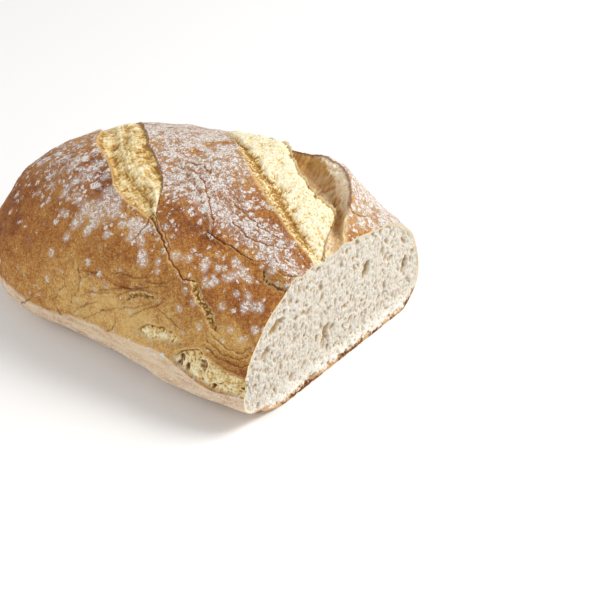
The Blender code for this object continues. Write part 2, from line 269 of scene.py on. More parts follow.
@dataclass(frozen=True)
class LoafBody:
    """Sizes of the plain body in millimetres, and the surface that they give."""

    length: float = 189.0  # from the cut to the tip of the rounded end
    half_width: float = 67.5
    cut_height: float = 64.0
    crown_height: float = 87.5
    crown_place: float = 0.46
    shoulders: tuple[float, float] = (13.5, 18.5)  # heights of the widest line, front and back
    undercuts: tuple[float, float] = (30.5, 15.7)
    end_undercut: float = 11.0
    tip_height: float = 23.6
    squareness: tuple[float, float] = (2.28, 2.41)
    end_squareness: tuple[float, float] = (3.38, 3.0)
    crown_fall: float = 2.78
    belly: float = 1.028
    chamfers: tuple[float, float] = (1.4, 2.0)
    lower_share: float = 0.13
    shift_at_cut: float = 1.8
    shift_at_tip: float = -3.9
    crest_lean: float = 2.3
    swells: Knots = ((61.0, 0.8), (33.0, 0.4), (15.0, 0.18))
    waves_per_swell: int = 5
    swell_seed: int = 7
    middle: tuple[float, float] = (95.0, -0.2)  # of the cut, from the middle of the box

    def points(self, share: np.ndarray, turn: np.ndarray) -> np.ndarray:
        """Points of the plain body.

        Args:
            share: Shares of the length, from the cut.
            turn: Turns around the section.

        Returns:
            Points in millimetres, with x = 0 at the cut.
        """
        share = np.clip(share, 0.0, 1.0)
        lower = self.lower_share
        upper = (turn > lower) & (turn < 1 - lower)
        down = np.where(turn < 0.5, turn, 1 - turn) / lower
        curl = np.clip(down, 0, 1) * np.pi / 2
        angle = np.clip((turn - lower) / (1 - 2 * lower), 0, 1) * np.pi
        across, up = np.abs(np.cos(angle)), np.abs(np.sin(angle))
        belly = 1 + (self.belly - 1) * np.sin(np.pi * np.clip(share / 0.8, 0, 1))
        rise = np.sin(np.pi / 2 * np.clip(share / self.crown_place, 0, 1))
        crown = self.cut_height + (self.crown_height - self.cut_height) * rise
        fall = np.sqrt(1 - share**self.crown_fall)
        height = self.tip_height + (crown - self.tip_height) * fall
        sides = []
        for side in (0, 1):
            taper = (1 - share ** self.end_squareness[side]) ** (1 / self.end_squareness[side])
            shoulder = self.shoulders[side]
            low = shoulder + (self.tip_height - shoulder) * share**5
            chamfer = self.chamfers[side]
            power = 2 / (chamfer + (2 - chamfer) * share**1.5)
            inward = 1 - np.sin(curl) ** power
            reach = self.half_width * belly * taper * across ** (2 / self.squareness[side])
            rim = (self.half_width * belly - self.undercuts[side] * inward) * taper
            lift = low + (height - low) * up ** (2 / self.squareness[side])
            under = low * (1 - np.cos(curl) ** power)
            sides.append((np.where(upper, reach, rim), np.where(upper, lift, under), inward))
        front, back = sides
        y = np.where(turn < 0.5, -front[0], back[0])
        z = np.where(turn < 0.5, front[1], back[1])
        inward = np.where(turn < 0.5, front[2], back[2])
        y = y + self.shift_at_cut * (1 - share) + self.shift_at_tip * share
        y = y + self.crest_lean * np.sin(np.pi * share) * np.sin(angle)
        x = -(self.length - self.end_undercut * inward) * share
        return np.stack(np.broadcast_arrays(x, y, z), axis=-1)

    def directions(self, share: np.ndarray, turn: np.ndarray) -> tuple[np.ndarray, np.ndarray]:
        """Outward and around-the-section unit vectors of the plain body.

        Args:
            share: Shares of the length, from the cut.
            turn: Turns around the section.

        Returns:
            The outward vectors and the vectors around the section.
        """
        inner = np.clip(share, 0.0005, 0.9985)
        along = self.points(inner - 0.0005, turn) - self.points(inner + 0.0005, turn)
        low, high = np.clip(turn - 0.001, 0, 1), np.clip(turn + 0.001, 0, 1)
        around = self.points(inner, high) - self.points(inner, low)
        outward = np.cross(along, around)
        outward /= np.linalg.norm(outward, axis=-1, keepdims=True) + 1e-9
        around /= np.linalg.norm(around, axis=-1, keepdims=True) + 1e-9
        down = np.clip(np.minimum(turn, 1 - turn) / self.lower_share, 0, 1) * np.pi / 2
        ahead = (-self.tip_height * np.sin(down), 0 * down, -self.end_undercut * np.cos(down))
        ahead = np.stack(ahead, axis=-1)
        ahead /= np.linalg.norm(ahead, axis=-1, keepdims=True)
        near_tip = step(0.985, 0.9985, share)[..., None]
        outward = outward * (1 - near_tip) + ahead * near_tip
        return outward / np.linalg.norm(outward, axis=-1, keepdims=True), around

    def swell(self, points: np.ndarray) -> np.ndarray:
        """Slow unevenness of the crust.

        Args:
            points: Points in millimetres.

        Returns:
            Heights in millimetres.
        """
        rng = np.random.default_rng(self.swell_seed)
        total = np.zeros(points.shape[:-1])
        for wavelength, height in self.swells:
            for _ in range(self.waves_per_swell):
                wave = rng.normal(size=3)
                wave *= 2 * np.pi / wavelength / np.linalg.norm(wave)
                total += height / 2 * np.sin(points @ wave + rng.uniform(0, 2 * np.pi))
        return total

    def settled(self, points: np.ndarray) -> np.ndarray:
        """The points in metres, with the origin under the middle of the loaf."""
        return (points + [self.middle[0], self.middle[1], 0.0]) * MM


@dataclass
class Relief:
    """Heights and tones that the features of the crust add up, one table each."""

    rise: np.ndarray
    slide: np.ndarray
    bloom: np.ndarray
    # gold: golden tone of the torn dough, deepened as painted shade in its creases
    gold: np.ndarray
    hollow: np.ndarray
    # dark: singed crust, and painted shade in cracks, pits, grooves and the hollow
    dark: np.ndarray
    edge: np.ndarray
    low: np.ndarray  # millimetres below what lies around

    @classmethod
    def level(cls, shape: tuple[int, ...]) -> Relief:
        """A crust with nothing on it yet."""
        return cls(*(np.zeros(shape) for _ in fields(cls)))

    def add(self, tone: str, amount: np.ndarray) -> None:
        """Raises one of the tones to the amount where it is lower."""
        table = getattr(self, tone)
        np.maximum(table, amount, out=table)

    def part(self, window: tuple[slice, slice]) -> Relief:
        """The relief of a part of the grid, tied to the whole."""
        return Relief(*(getattr(self, item.name)[window] for item in fields(self)))


@dataclass(frozen=True)
class Chart:
    """The grid of places on the crust, with its lines gathered at the lips of the scores."""

    body: LoafBody
    share: np.ndarray  # one column
    turn: np.ndarray  # a row for each share
    marks: tuple[int, ...]  # column numbers where the zones meet
    lines: dict[Line, np.ndarray]  # turns of the lips, one column each

    @property
    def place(self) -> np.ndarray:
        """Distances from the cut, one column."""
        return self.share * self.body.length

    def window(self, line: Knots, reach: float) -> tuple[slice, slice]:
        """The part of the grid around a line of (distance, turn) points.

        Args:
            line: The points.
            reach: How far around the line it goes, in millimetres.

        Returns:
            The rows and the columns.
        """
        low = np.min(line, axis=0) - (reach, reach / GIRTH)
        high = np.max(line, axis=0) + (reach, reach / GIRTH)
        rows = np.flatnonzero((self.place[:, 0] >= low[0]) & (self.place[:, 0] <= high[0]))
        around = self.turn[rows]
        columns = np.flatnonzero(((around > low[1]) & (around < high[1])).any(axis=0))
        return slice(rows[0], rows[-1] + 1), slice(columns[0], columns[-1] + 1)

    @property
    def flat(self) -> np.ndarray:
        """The crust rolled out flat: distance along, distance around and 0."""
        place = np.broadcast_to(self.place, self.turn.shape)
        return np.stack([place, self.turn * GIRTH, 0 * self.turn], axis=-1)


@dataclass(frozen=True)
class TornDough:
    """Where the crust's points lie across the wide score, and how the dough is torn there."""

    place: np.ndarray
    there: np.ndarray  # 1 along the open score and 0 beyond its end
    before: np.ndarray  # millimetres in front of the lip
    after: np.ndarray  # millimetres behind the rim
    over_bloom: np.ndarray  # from 0 at the lip to 1 at the ridge
    over_hollow: np.ndarray  # from 0 at the ridge to 1 at the rim
    in_bloom: np.ndarray
    in_hollow: np.ndarray
    ear: np.ndarray  # its height in millimetres
    depth: np.ndarray  # of the hollow, in millimetres
    clumps: np.ndarray
    crumbly: np.ndarray
    mottled: np.ndarray
    torn: np.ndarray
    pores: np.ndarray
    strands: np.ndarray
    web: np.ndarray  # 1 where strands hang across the hollow
    by_cut: np.ndarray  # 1 where the hollow opens at the cut
    band_edge: np.ndarray  # share of the hollow where the pale band under the rim starts
    band: np.ndarray  # 1 on that band
    away: np.ndarray  # millimetres behind the lip, made uneven


@dataclass(frozen=True)
class WideScore:
    """The wide score beside the crest, its crumbly bloom, and the ear that it lifted."""

    lip: Knots = (
        (0, 0.455), (12, 0.462), (20, 0.469), (28, 0.481), (38, 0.492), (48, 0.503),
        (59, 0.520), (76, 0.565), (92, 0.615), (108, 0.665), (120, 0.690), (189, 0.600),
    )
    ridge: Knots = (
        (0, 0.480), (2, 0.487), (4, 0.495), (6, 0.503), (8, 0.513), (10, 0.526), (12, 0.540),
        (16, 0.549), (20, 0.548), (26, 0.548), (32, 0.556), (39, 0.567), (49, 0.593),
        (56, 0.622), (61, 0.640), (68, 0.656), (80, 0.672), (95, 0.684), (120, 0.705),
        (189, 0.660),
    )
    rim: Knots = (
        (0, 0.514), (4, 0.527), (8, 0.543), (11, 0.562), (16, 0.590), (22, 0.611),
        (30, 0.630), (38, 0.640), (46, 0.648), (56, 0.656), (66, 0.670), (80, 0.687),
        (100, 0.706), (120, 0.720), (189, 0.720),
    )
    end: tuple[float, float] = (84.0, 120.0)
    ear_height: Knots = (
        (0, 1.8), (6, 2.8), (10, 3.8), (16, 5.8), (23, 7.5), (30, 8.3), (37, 7.9), (44, 6.6),
        (50, 3.9), (58, 1.9), (75, 1.1), (100, 0.4), (120, 0.0),
    )
    cavity_depth: Knots = (
        (0, 0.8), (4, 2.0), (10, 5.4), (20, 9.5), (35, 9.5), (48, 7.0), (58, 3.8), (66, 1.6),
        (95, 1.0), (120, 0.0),
    )
    ear_fall: float = 16.0  # millimetres over which the lifted crust comes down behind the rim
    strip: float = 4.6  # millimetres from the lip to the groove in the bloom
    bulge: float = 2.6  # how far the bloom stands out beside the ridge
    ragged: tuple[float, ...] = (0.45, 1.5, 0.8)  # of lip, ridge and rim
    ragged_sizes: tuple[float, ...] = (4.6, 3.4, 4.6)
    # Across the hollow, from the ridge at 0 to the rim at 1
    falls: Knots = (
        (0, 0), (0.04, 0.24), (0.1, 0.5), (0.2, 0.75), (0.34, 0.96), (0.5, 1), (0.68, 0.6),
        (0.8, 0.05), (1, 0),
    )
    climbs: Knots = ((0, 0), (0.74, 0), (0.8, 0.08), (0.9, 0.62), (1, 1))
    lean: Knots = (
        (0, 0.4), (0.04, -1.2), (0.12, -1.8), (0.3, -0.4), (0.5, 1.2), (0.68, 3.0), (0.76, 2.8),
        (0.84, 1.5), (0.92, 0.3), (1, -0.6),
    )
    tan: Knots = ((0, 0.2), (0.02, 0.5), (0.1, 0.6), (0.3, 0.75), (0.6, 0.9))
    # Inner edge of the pale band under the rim, by the distance from the cut
    band_edge: Knots = ((8, 0.66), (12, 0.68), (25, 0.74), (37, 0.86), (45, 0.94))

    def edges(self, place: np.ndarray, grain: Grain) -> dict[Line, np.ndarray]:
        """The lip, the ridge and the rim, with their raggedness.

        Args:
            place: Distances from the cut.
            grain: The noise.

        Returns:
            The turn of each of the three lines.
        """
        there = 1 - step(*self.end, place)
        curves, found = (self.lip, self.ridge, self.rim), {}
        for line, knots, height, size in zip(Line, curves, self.ragged, self.ragged_sizes):
            uneven = height * grain.wander(place, size, line)
            found[line] = spline(place, knots) + uneven * there / GIRTH
        return found

    def dough(self, chart: Chart, points: np.ndarray, grain: Grain) -> TornDough:
        """The tables that the parts of the score share.

        Args:
            chart: The grid of the crust.
            points: The plain body's points, in millimetres.
            grain: The noise.

        Returns:
            The tables.
        """
        place, turn = chart.place, chart.turn
        lip, ridge, rim = (chart.lines[line] for line in (Line.LIP, Line.RIDGE, Line.RIM))
        before = (lip - turn) * GIRTH
        wavy = 1 + 0.09 * grain.wander(place, 9.0, Line.EAR)
        wavy = wavy + 0.05 * grain.wander(place, 2.6, Line.EAR_FINE)
        clumps = grain.cloud(points, 7.0, 2, 0.5)
        torn = grain.lumps(points, 3.2, 4, 0.62) - 0.42
        c = np.clip((turn - ridge) / (rim - ridge), 0, 1)
        web = bell(place - 24, 15) * step(0.46, 0.56, c)
        band_edge = bent(place, self.band_edge) + 0.07 * clumps + 0.13 * torn
        band = step(0, 0.03, c - band_edge) * step(8, 12, place)
        return TornDough(
            place=place,
            there=1 - step(*self.end, place),
            before=before,
            after=(turn - rim) * GIRTH,
            over_bloom=np.clip((turn - lip) / (ridge - lip), 0, 1),
            over_hollow=c,
            in_bloom=(turn >= lip) & (turn < ridge),
            in_hollow=(turn >= ridge) & (turn <= rim),
            ear=spline(place, self.ear_height) * wavy,
            depth=spline(place, self.cavity_depth),
            clumps=clumps,
            crumbly=grain.lumps(points + 70, 2.3, 3, 0.8) - 0.45,
            mottled=grain.cloud(points + 20, 3.6, 3, 0.7),
            torn=torn,
            pores=grain.lumps(points + 130, 4.4, 4, 0.62) - 0.42,
            strands=grain.lumps(points, (2.0, 7.0, 4.0), 3, 0.6) - 0.42,
            web=web * (1 - step(0.76, 0.86, c + 0.1 * clumps + 0.1 * torn)),
            by_cut=(1 - step(7, 13, place)) * step(0.04, 0.15, c) * (1 - step(0.9, 1.0, c)),
            band_edge=band_edge,
            band=band * (1 - step(40, 50, place)),
            away=np.clip(-before, 0, None) + 1.3 * clumps,
        )

    def carve(self, relief: Relief, chart: Chart, points: np.ndarray, grain: Grain) -> None:
        """Adds the score, its bloom and its ear to the relief.

        Args:
            relief: The relief so far.
            chart: The grid of the crust.
            points: The plain body's points, in millimetres.
            grain: The noise.
        """
        dough = self.dough(chart, points, grain)
        before, after, ear = dough.before, dough.after, dough.ear
        crust = 0.9 * np.exp(-np.clip(before, 0, None) / 4.0) + 0.3 * bell(before, 0.9)
        bloom, ledge = self.bloom(dough)
        hollow, inward = self.hollow(dough, ledge)
        within = np.where(dough.in_bloom, bloom, hollow)
        rise = np.where(before > 0, dough.there * crust, within)
        relief.rise += np.where(after > 0, self.flank(dough, grain), rise)
        lean = bent(dough.over_hollow, self.lean) * dough.in_hollow
        slide = np.where(after > 0, -0.8 * (1 - step(0, 3, after)), lean)
        relief.slide += slide * ear / 8 - inward * dough.in_hollow
        self.colour_bloom(relief, dough)
        self.colour_hollow(relief, dough)
        self.colour_rim(relief, dough, grain)

    def bloom(self, dough: TornDough) -> tuple[np.ndarray, np.ndarray]:
        """The risen bloom behind the lip.

        Args:
            dough: The tables of the score.

        Returns:
            Its heights, and the height at which the hollow starts.
        """
        place, u, before = dough.place, dough.over_bloom, dough.before
        open_up = step(1, 14, place)
        groove = 1.0 * bell(dough.away - self.strip, 1.5)
        swells = 1.6 * step(self.strip, self.strip + 3, dough.away)
        swells = swells + self.bulge * step(0.3, 0.85, u)
        slope = bell(place - 4, 9)
        rounded = (1.6 + 1.8 * slope) * step(0.62 - 0.22 * slope, 1.0, u) ** 2
        bloom = (swells - rounded) * open_up + 1.3 * u * bell(place - 60, 14)
        bloom = dough.there * (bloom - groove - 1.5 * step(0, 1.2, -before))
        rough = dough.clumps * (0.5 + 0.9 * u) + 0.8 * dough.crumbly
        rough = rough + 0.6 * dough.mottled
        bloom = bloom + dough.there * rough * step(0.3, 1.6, -before)
        return bloom, (self.bulge - 1.8 * slope) * open_up + 1.3 * bell(place - 60, 14) + rough

    def hollow(self, dough: TornDough, ledge: np.ndarray) -> tuple[np.ndarray, np.ndarray]:
        """The hollow under the ear.

        Args:
            dough: The tables of the score.
            ledge: The height at which it starts.

        Returns:
            Its heights, and how far its wall is pushed in, both in millimetres.
        """
        there, c, torn, band = dough.there, dough.over_hollow, dough.torn, dough.band
        starts = there * ledge * (1 - step(0, 0.12, c))
        hollow = starts - dough.depth * bent(c, self.falls) + dough.ear * bent(c, self.climbs)
        foot = there * (1 - step(0.06, 0.55, c)) * (torn * 1.6 + 0.9 * dough.crumbly)
        wall = there * dough.by_cut * (1.2 * dough.pores + 0.8 * torn)
        hollow = hollow + (foot + wall) * step(0, 0.05, c) + 0.6 * band
        inward = 2.6 * dough.web * dough.pores + 0.4 * dough.strands * step(0.3, 0.5, c)
        inward = there * inward + band * (0.7 + 2.2 * torn) * (1 - step(0.94, 1.0, c))
        return hollow, inward

    def flank(self, dough: TornDough, grain: Grain) -> np.ndarray:
        """The crust that the ear lifted, falling off behind the rim.

        Args:
            dough: The tables of the score.
            grain: The noise.

        Returns:
            Its heights in millimetres.
        """
        after, ear = dough.after, dough.ear
        flank = ear * np.exp(-((np.clip(after - 1.5, 0, None) / self.ear_fall) ** 1.3))
        flank = flank + 0.5 * step(0, 1.2, after) * (1 - step(2, 6, after)) * ear / 8
        notches = np.clip(grain.wander(dough.place, 3.0, Line.NOTCHES), 0, None)
        return flank - 1.3 * (notches * step(0.5, 3, ear)) * (1 - step(0, 1.6, after))

    def colour_bloom(self, relief: Relief, dough: TornDough) -> None:
        """Adds the tones of the lip and of the bloom behind it, with painted shade in its groove,
        creases and pits and painted highlight on its lumps.

        Args:
            relief: The relief so far.
            dough: The tables of the score.
        """
        there, before, away, crumbly = dough.there, dough.before, dough.away, dough.crumbly
        relief.add("bloom", there * dough.in_bloom * step(0.2, 1.2, -before))
        # Golden strip by the lip; the bloom is painted paler on its lumps and more golden in its
        # creases and groove, as painted highlight and shade.
        gold = 0.12 + 0.46 * (1 - step(self.strip, self.strip + 2.2, away)) - 0.22 * dough.clumps
        gold = gold + 0.5 * bell(away - self.strip + 0.4, 1.3) - 0.6 * crumbly
        gold = gold - 0.25 * dough.mottled
        gold = gold * (0.25 + 0.75 * step(1, 12, dough.place))
        relief.add("gold", there * dough.in_bloom * np.clip(gold, 0, 1))
        relief.add("edge", there * 0.8 * bell(before - 0.1, 0.75))
        # Painted shade on the crust just in front of the lip.
        relief.add("dark", there * 0.25 * bell(before - 1.6, 1.3))
        # Painted shade in the pits of the crumbly bloom by the groove.
        shaded_pits = step(0.1, 0.4, -crumbly) * bell(away - self.strip + 0.8, 2.0)
        relief.add("dark", there * dough.in_bloom * 0.5 * shaded_pits)

    def colour_hollow(self, relief: Relief, dough: TornDough) -> None:
        """Adds the tones of the hollow, its web and the pale band under the rim, with painted shade
        in the deep of the hollow, between the strands and under the ear.

        Args:
            relief: The relief so far.
            dough: The tables of the score.
        """
        place, there, inside, c = dough.place, dough.there, dough.in_hollow, dough.over_hollow
        torn, pores, web = dough.torn, dough.pores, dough.web
        band, by_cut = dough.band, dough.by_cut
        relief.add("hollow", there * inside * step(0.0, 0.04, c))
        relief.add("bloom", there * inside * (1 - step(-0.02, 0.03, c)))
        relief.add("bloom", band * inside)
        relief.add("bloom", 0.85 * inside * web * step(-0.2, 0.06, pores))
        relief.add("bloom", inside * by_cut * (1 - 0.6 * step(0.3, 0.6, c + 0.3 * torn)))
        tanned = bent(c, self.tan) * (1 - 0.95 * band) - 0.4 * web - 0.3 * by_cut * (1 - c)
        tanned = tanned - 0.7 * torn - 0.8 * web * pores
        relief.add("gold", there * inside * np.clip(tanned, 0, 1))
        # Painted shade in the deepest part of the hollow.
        deep = bell(c - 0.34, 0.2) * step(2.5, 8, dough.depth)
        relief.add("dark", there * inside * deep * 0.4)
        # Painted shade in the gaps between the strands.
        relief.add("dark", 0.6 * inside * web * step(0.16, 0.34, -pores))
        # Painted shadow under the overhanging ear.
        relief.add("dark", 0.55 * inside * bell(place - 17, 6) * bell(c - 0.64, 0.07))
        relief.add("dark", 0.5 * band * inside * step(0.1, 0.3, -torn))
        fringe = inside * bell(c - dough.band_edge, 0.05) * step(8, 12, place)
        relief.add("edge", 0.55 * fringe * (1 - step(40, 50, place)))

    def colour_rim(self, relief: Relief, dough: TornDough, grain: Grain) -> None:
        """Adds the tones of the singed rim and of its broken corner by the cut.

        Args:
            relief: The relief so far.
            dough: The tables of the score.
            grain: The noise.
        """
        place, after = dough.place, dough.after
        corner = 1 - step(7, 12, place)
        relief.add("bloom", corner * bell(after - 0.5, 1.3 + 0.9 * dough.torn))
        relief.add("gold", corner * (0.7 - 0.6 * dough.torn) * bell(after - 0.5, 1.4))
        ragged = step(8, 13, place) * step(0.4, 2.0, dough.ear)
        uneven = 1 + 0.5 * grain.wander(place, 4.0, Line.SINGE)
        relief.add("dark", dough.there * 0.8 * bell(after, 1.0 * uneven) * ragged)


@dataclass(frozen=True)
class NarrowScore:
    """The narrow almond-shaped score across the crown, with its stretched bloom."""

    front_lip: Knots = (
        (0, 0.300), (40, 0.314), (60, 0.330), (66, 0.341), (69, 0.347), (72, 0.354), (79, 0.362),
        (87, 0.368), (96, 0.379), (104, 0.396), (112, 0.423), (123, 0.452), (133, 0.474),
        (144, 0.518), (158, 0.565), (189, 0.520),
    )
    back_lip: Knots = (
        (0, 0.340), (40, 0.345), (60, 0.344), (66, 0.346), (69, 0.354), (72, 0.368), (76, 0.391),
        (79, 0.413), (84, 0.437), (90, 0.456), (98, 0.477), (109, 0.499), (118, 0.522),
        (124, 0.541), (132, 0.572), (140, 0.598), (152, 0.606), (158, 0.592), (189, 0.560),
    )
    ends: tuple[float, float, float, float] = (66.0, 71.0, 144.0, 157.0)
    profile: Knots = (
        (0.0, 0.7), (0.05, -0.9), (0.12, -1.5), (0.25, -1.4), (0.45, -0.3), (0.65, 0.3),
        (0.82, -0.1), (0.93, -0.5), (0.97, -0.4), (1.0, 0.5),
    )
    tan: Knots = ((0, 0.8), (0.06, 0.6), (0.2, 0.5), (0.6, 0.42), (0.85, 0.55), (1, 0.8))
    pit: tuple[float, ...] = (127.0, 0.487, 6.0, 0.015, 3.6)  # place, turn, half-sizes, depth
    ragged: float = 0.4

    def extent(self, place: np.ndarray) -> np.ndarray:
        """1 along the open score and 0 beyond its ends."""
        opens, open_at, closes, closed_at = self.ends
        return step(opens, open_at, place) * (1 - step(closes, closed_at, place))

    def edges(self, place: np.ndarray, grain: Grain) -> dict[Line, np.ndarray]:
        """The front and the back lip, with their raggedness.

        Args:
            place: Distances from the cut.
            grain: The noise.

        Returns:
            The turn of each of the two lines.
        """
        uneven = self.ragged * self.extent(place) / GIRTH
        lips = ((Line.NARROW_FRONT, self.front_lip), (Line.NARROW_BACK, self.back_lip))
        return {
            line: spline(place, knots) + uneven * grain.wander(place, 6, line)
            for line, knots in lips
        }

    def carve(self, relief: Relief, chart: Chart, points: np.ndarray, grain: Grain) -> None:
        """Adds the score and its bloom to the relief, with painted shade along the back lip, in the
        creases of the bloom and in its pit.

        Args:
            relief: The relief so far.
            chart: The grid of the crust.
            points: The plain body's points, in millimetres.
            grain: The noise.
        """
        place, turn = chart.place, chart.turn
        front, back = chart.lines[Line.NARROW_FRONT], chart.lines[Line.NARROW_BACK]
        there = self.extent(place)
        across = np.clip((turn - front) / (back - front), 0, 1)
        within = (turn >= front) & (turn < back)
        outer = np.where(turn < (front + back) / 2, front - turn, turn - back) * GIRTH
        lips = self.profile[0][1] * np.exp(-np.clip(outer, 0, None) / 4.5)
        middle = (front + back) / 2
        folded = np.broadcast_arrays(place * 0.22, (turn - middle) * GIRTH, 0 * turn)
        folded = np.stack(folded, axis=-1)
        folds = grain.cloud(folded, 5.0, 3, 0.6)
        crumbly = grain.lumps(points, 2.2, 3, 0.7) - 0.45
        clumps = grain.cloud(points + 40, 5.5, 3, 0.6)
        rough = 0.8 * folds + 0.3 * crumbly + 0.8 * clumps
        rough = rough * step(0, 0.1, across) * step(0, 0.08, 1 - across)
        rise = np.where(within, spline(across, self.profile) + rough, lips)
        at, around_at, length, breadth, depth = self.pit
        pit = bell(place - at, length) * bell(turn - around_at, breadth)
        relief.rise += (rise - depth * pit) * there
        front_gap, back_gap = (turn - front) * GIRTH, (turn - back) * GIRTH
        relief.add("bloom", there * within * step(0.2, 1.2, -outer))
        # The bloom is painted paler where its folds and lumps stand up and more golden where they
        # sink: painted highlight and shade.
        gold = bent(across, self.tan) + 0.09 - 0.3 * crumbly - 0.35 * folds - 0.4 * clumps
        relief.add("gold", there * within * np.clip(gold, 0, 1))
        relief.add("edge", there * 0.9 * bell(front_gap, 0.6))
        # A dark line along the back lip: its reddish-brown edge, with painted shadow under it.
        relief.add("dark", there * 0.5 * bell(back_gap + 0.2, 0.45))
        # Painted shade in the pit.
        relief.add("dark", there * 0.5 * pit * step(0, 0.3, -folds))


@dataclass(frozen=True)
class Crack:
    """A crack or a wrinkle in the crust along (distance, turn) points, in millimetres."""

    line: Knots
    half_width: float
    depth: float
    raised: float = 0.3  # of one side
    # how dark the line along it is: browned crust, with painted shade in the gap
    dark: float = 0.9
    torn: float = 0.0  # how much crumb shows in it

    def carve(self, relief: Relief, chart: Chart, warped: np.ndarray) -> None:
        """Adds the crack to the relief.

        Args:
            relief: The relief so far.
            chart: The grid of the crust.
            warped: The rolled-out crust, its points shaken a little, and a noise.
        """
        window = chart.window(self.line, 4 + 3 * self.half_width)
        relief, warped = relief.part(window), warped[window]
        points = np.array(self.line, float) * (1, GIRTH)
        nearest = np.full(warped.shape[:2], np.inf)
        beside = np.zeros(warped.shape[:2])
        for a, b in zip(points, points[1:]):
            run = b - a
            gap = warped[..., :2] - a
            u = np.clip((gap @ run) / (run @ run), 0, 1)
            away = gap - u[..., None] * run
            distance = np.hypot(away[..., 0], away[..., 1])
            side = np.sign(away[..., 1] * run[0] - away[..., 0] * run[1])
            beside = np.where(distance < nearest, side, beside)
            nearest = np.minimum(nearest, distance)
        ends = np.hypot(*(warped[..., :2] - points[0]).transpose(2, 0, 1))
        ends = np.minimum(ends, np.hypot(*(warped[..., :2] - points[-1]).transpose(2, 0, 1)))
        width = self.half_width * (0.45 + 0.55 * step(0, 5, ends))
        cut = bell(nearest, width)
        shoulder = bell(nearest - width - 0.6, 0.9 + 0.3 * self.raised)
        relief.rise += self.raised * (beside > 0) * shoulder - self.depth * cut
        strands = step(-0.16, 0.2, warped[..., 2]) * self.torn
        relief.rise += strands * cut * 0.5 * self.depth
        crumb = self.torn * step(0.25, 0.6, cut)
        relief.add("bloom", crumb)
        relief.add("gold", crumb * 0.9)
        # The dark line along the crack: browned crust, with painted shade in the gap.
        line = bell(nearest, 0.25 + 0.45 * width)
        relief.add("dark", self.dark * line * (1 - 0.85 * strands))
        # Painted highlight: a pale edge on the raised side only.
        relief.add("edge", 0.35 * bell(nearest - 1.15 * width, 0.4) * (beside > 0) * self.dark)


@dataclass(frozen=True)
class Tear:
    """A torn hollow low on the front, between an upper and a lower edge."""

    top: Knots
    foot: Knots
    depth: float
    holes: tuple[tuple[float, ...], ...] = ()  # place, turn, half-length, half-width

    def carve(self, relief: Relief, chart: Chart, points: np.ndarray, grain: Grain) -> None:
        """Adds the tear to the relief.

        Args:
            relief: The relief so far.
            chart: The grid of the crust.
            points: The plain body's points, in millimetres.
            grain: The noise.
        """
        place, turn = chart.place, chart.turn
        high = spline(place, self.top) + 0.9 * grain.wander(place, 4, Line.TEAR_TOP) / GIRTH
        low = spline(place, self.foot) + 1.0 * grain.wander(place, 4, Line.TEAR_FOOT) / GIRTH
        inside = step(0, 0.006, turn - low) * step(0, 0.003, high - turn)
        across = np.clip((turn - low) / np.maximum(high - low, 0.004), 0, 1)
        first, last = self.top[0][0], self.top[-1][0]
        ends = step(first - 3, first, place) * (1 - step(last - 3, last, place))
        inside = inside * ends
        porous = grain.cloud(points + 33, (5.0, 5.0, 3.4), 3, 0.65)
        strands = grain.lumps(points, (2.4, 9.0, 7.0), 3, 0.6) - 0.42
        floor = -self.depth * (0.45 + 0.55 * across) + 0.6 * porous + 0.4 * strands
        pit = step(0.36, 0.75, -porous)
        for at, around_at, length, breadth in self.holes:
            hole = ((place - at) / length) ** 2 + ((turn - around_at) * GIRTH / breadth) ** 2
            pit = np.maximum(pit, step(1.6, 0.3, hole + 1.2 * porous + 0.8 * strands))
        relief.rise += inside * (floor - 1.6 * pit)
        relief.add("bloom", inside)
        # The torn crumb is painted paler where it stands up and more golden where it sinks: painted
        # highlight and shade.
        gold = 0.4 + 0.25 * across - 0.45 * porous - 0.25 * strands
        relief.add("gold", inside * np.clip(gold, 0, 1))
        # Painted shade in the holes.
        relief.add("dark", inside * 0.6 * pit)
        edge = bell((turn - high) * GIRTH - 0.3, 0.55) * step(0.6, 2.2, (high - low) * GIRTH)
        relief.add("edge", 0.8 * ends * edge)


@dataclass(frozen=True)
class Patch:
    """A soft-edged part of the crust with more or less of something."""

    place: float
    turn: float
    length: float
    width: float  # in millimetres of girth
    amount: float

    def over(self, chart: Chart) -> np.ndarray:
        """What the patch adds to the crust.

        Args:
            chart: The grid of the crust.

        Returns:
            The amount at each point of the chart.
        """
        away = (chart.place - self.place) / self.length
        beside = (chart.turn - self.turn) * GIRTH / self.width
        return self.amount * np.exp(-((away**2 + beside**2) ** 1.25))


def patches(*rows: tuple[float, ...]) -> tuple[Patch, ...]:
    """A patch for each row of place, turn, length, width and amount."""
    return tuple(Patch(*row) for row in rows)


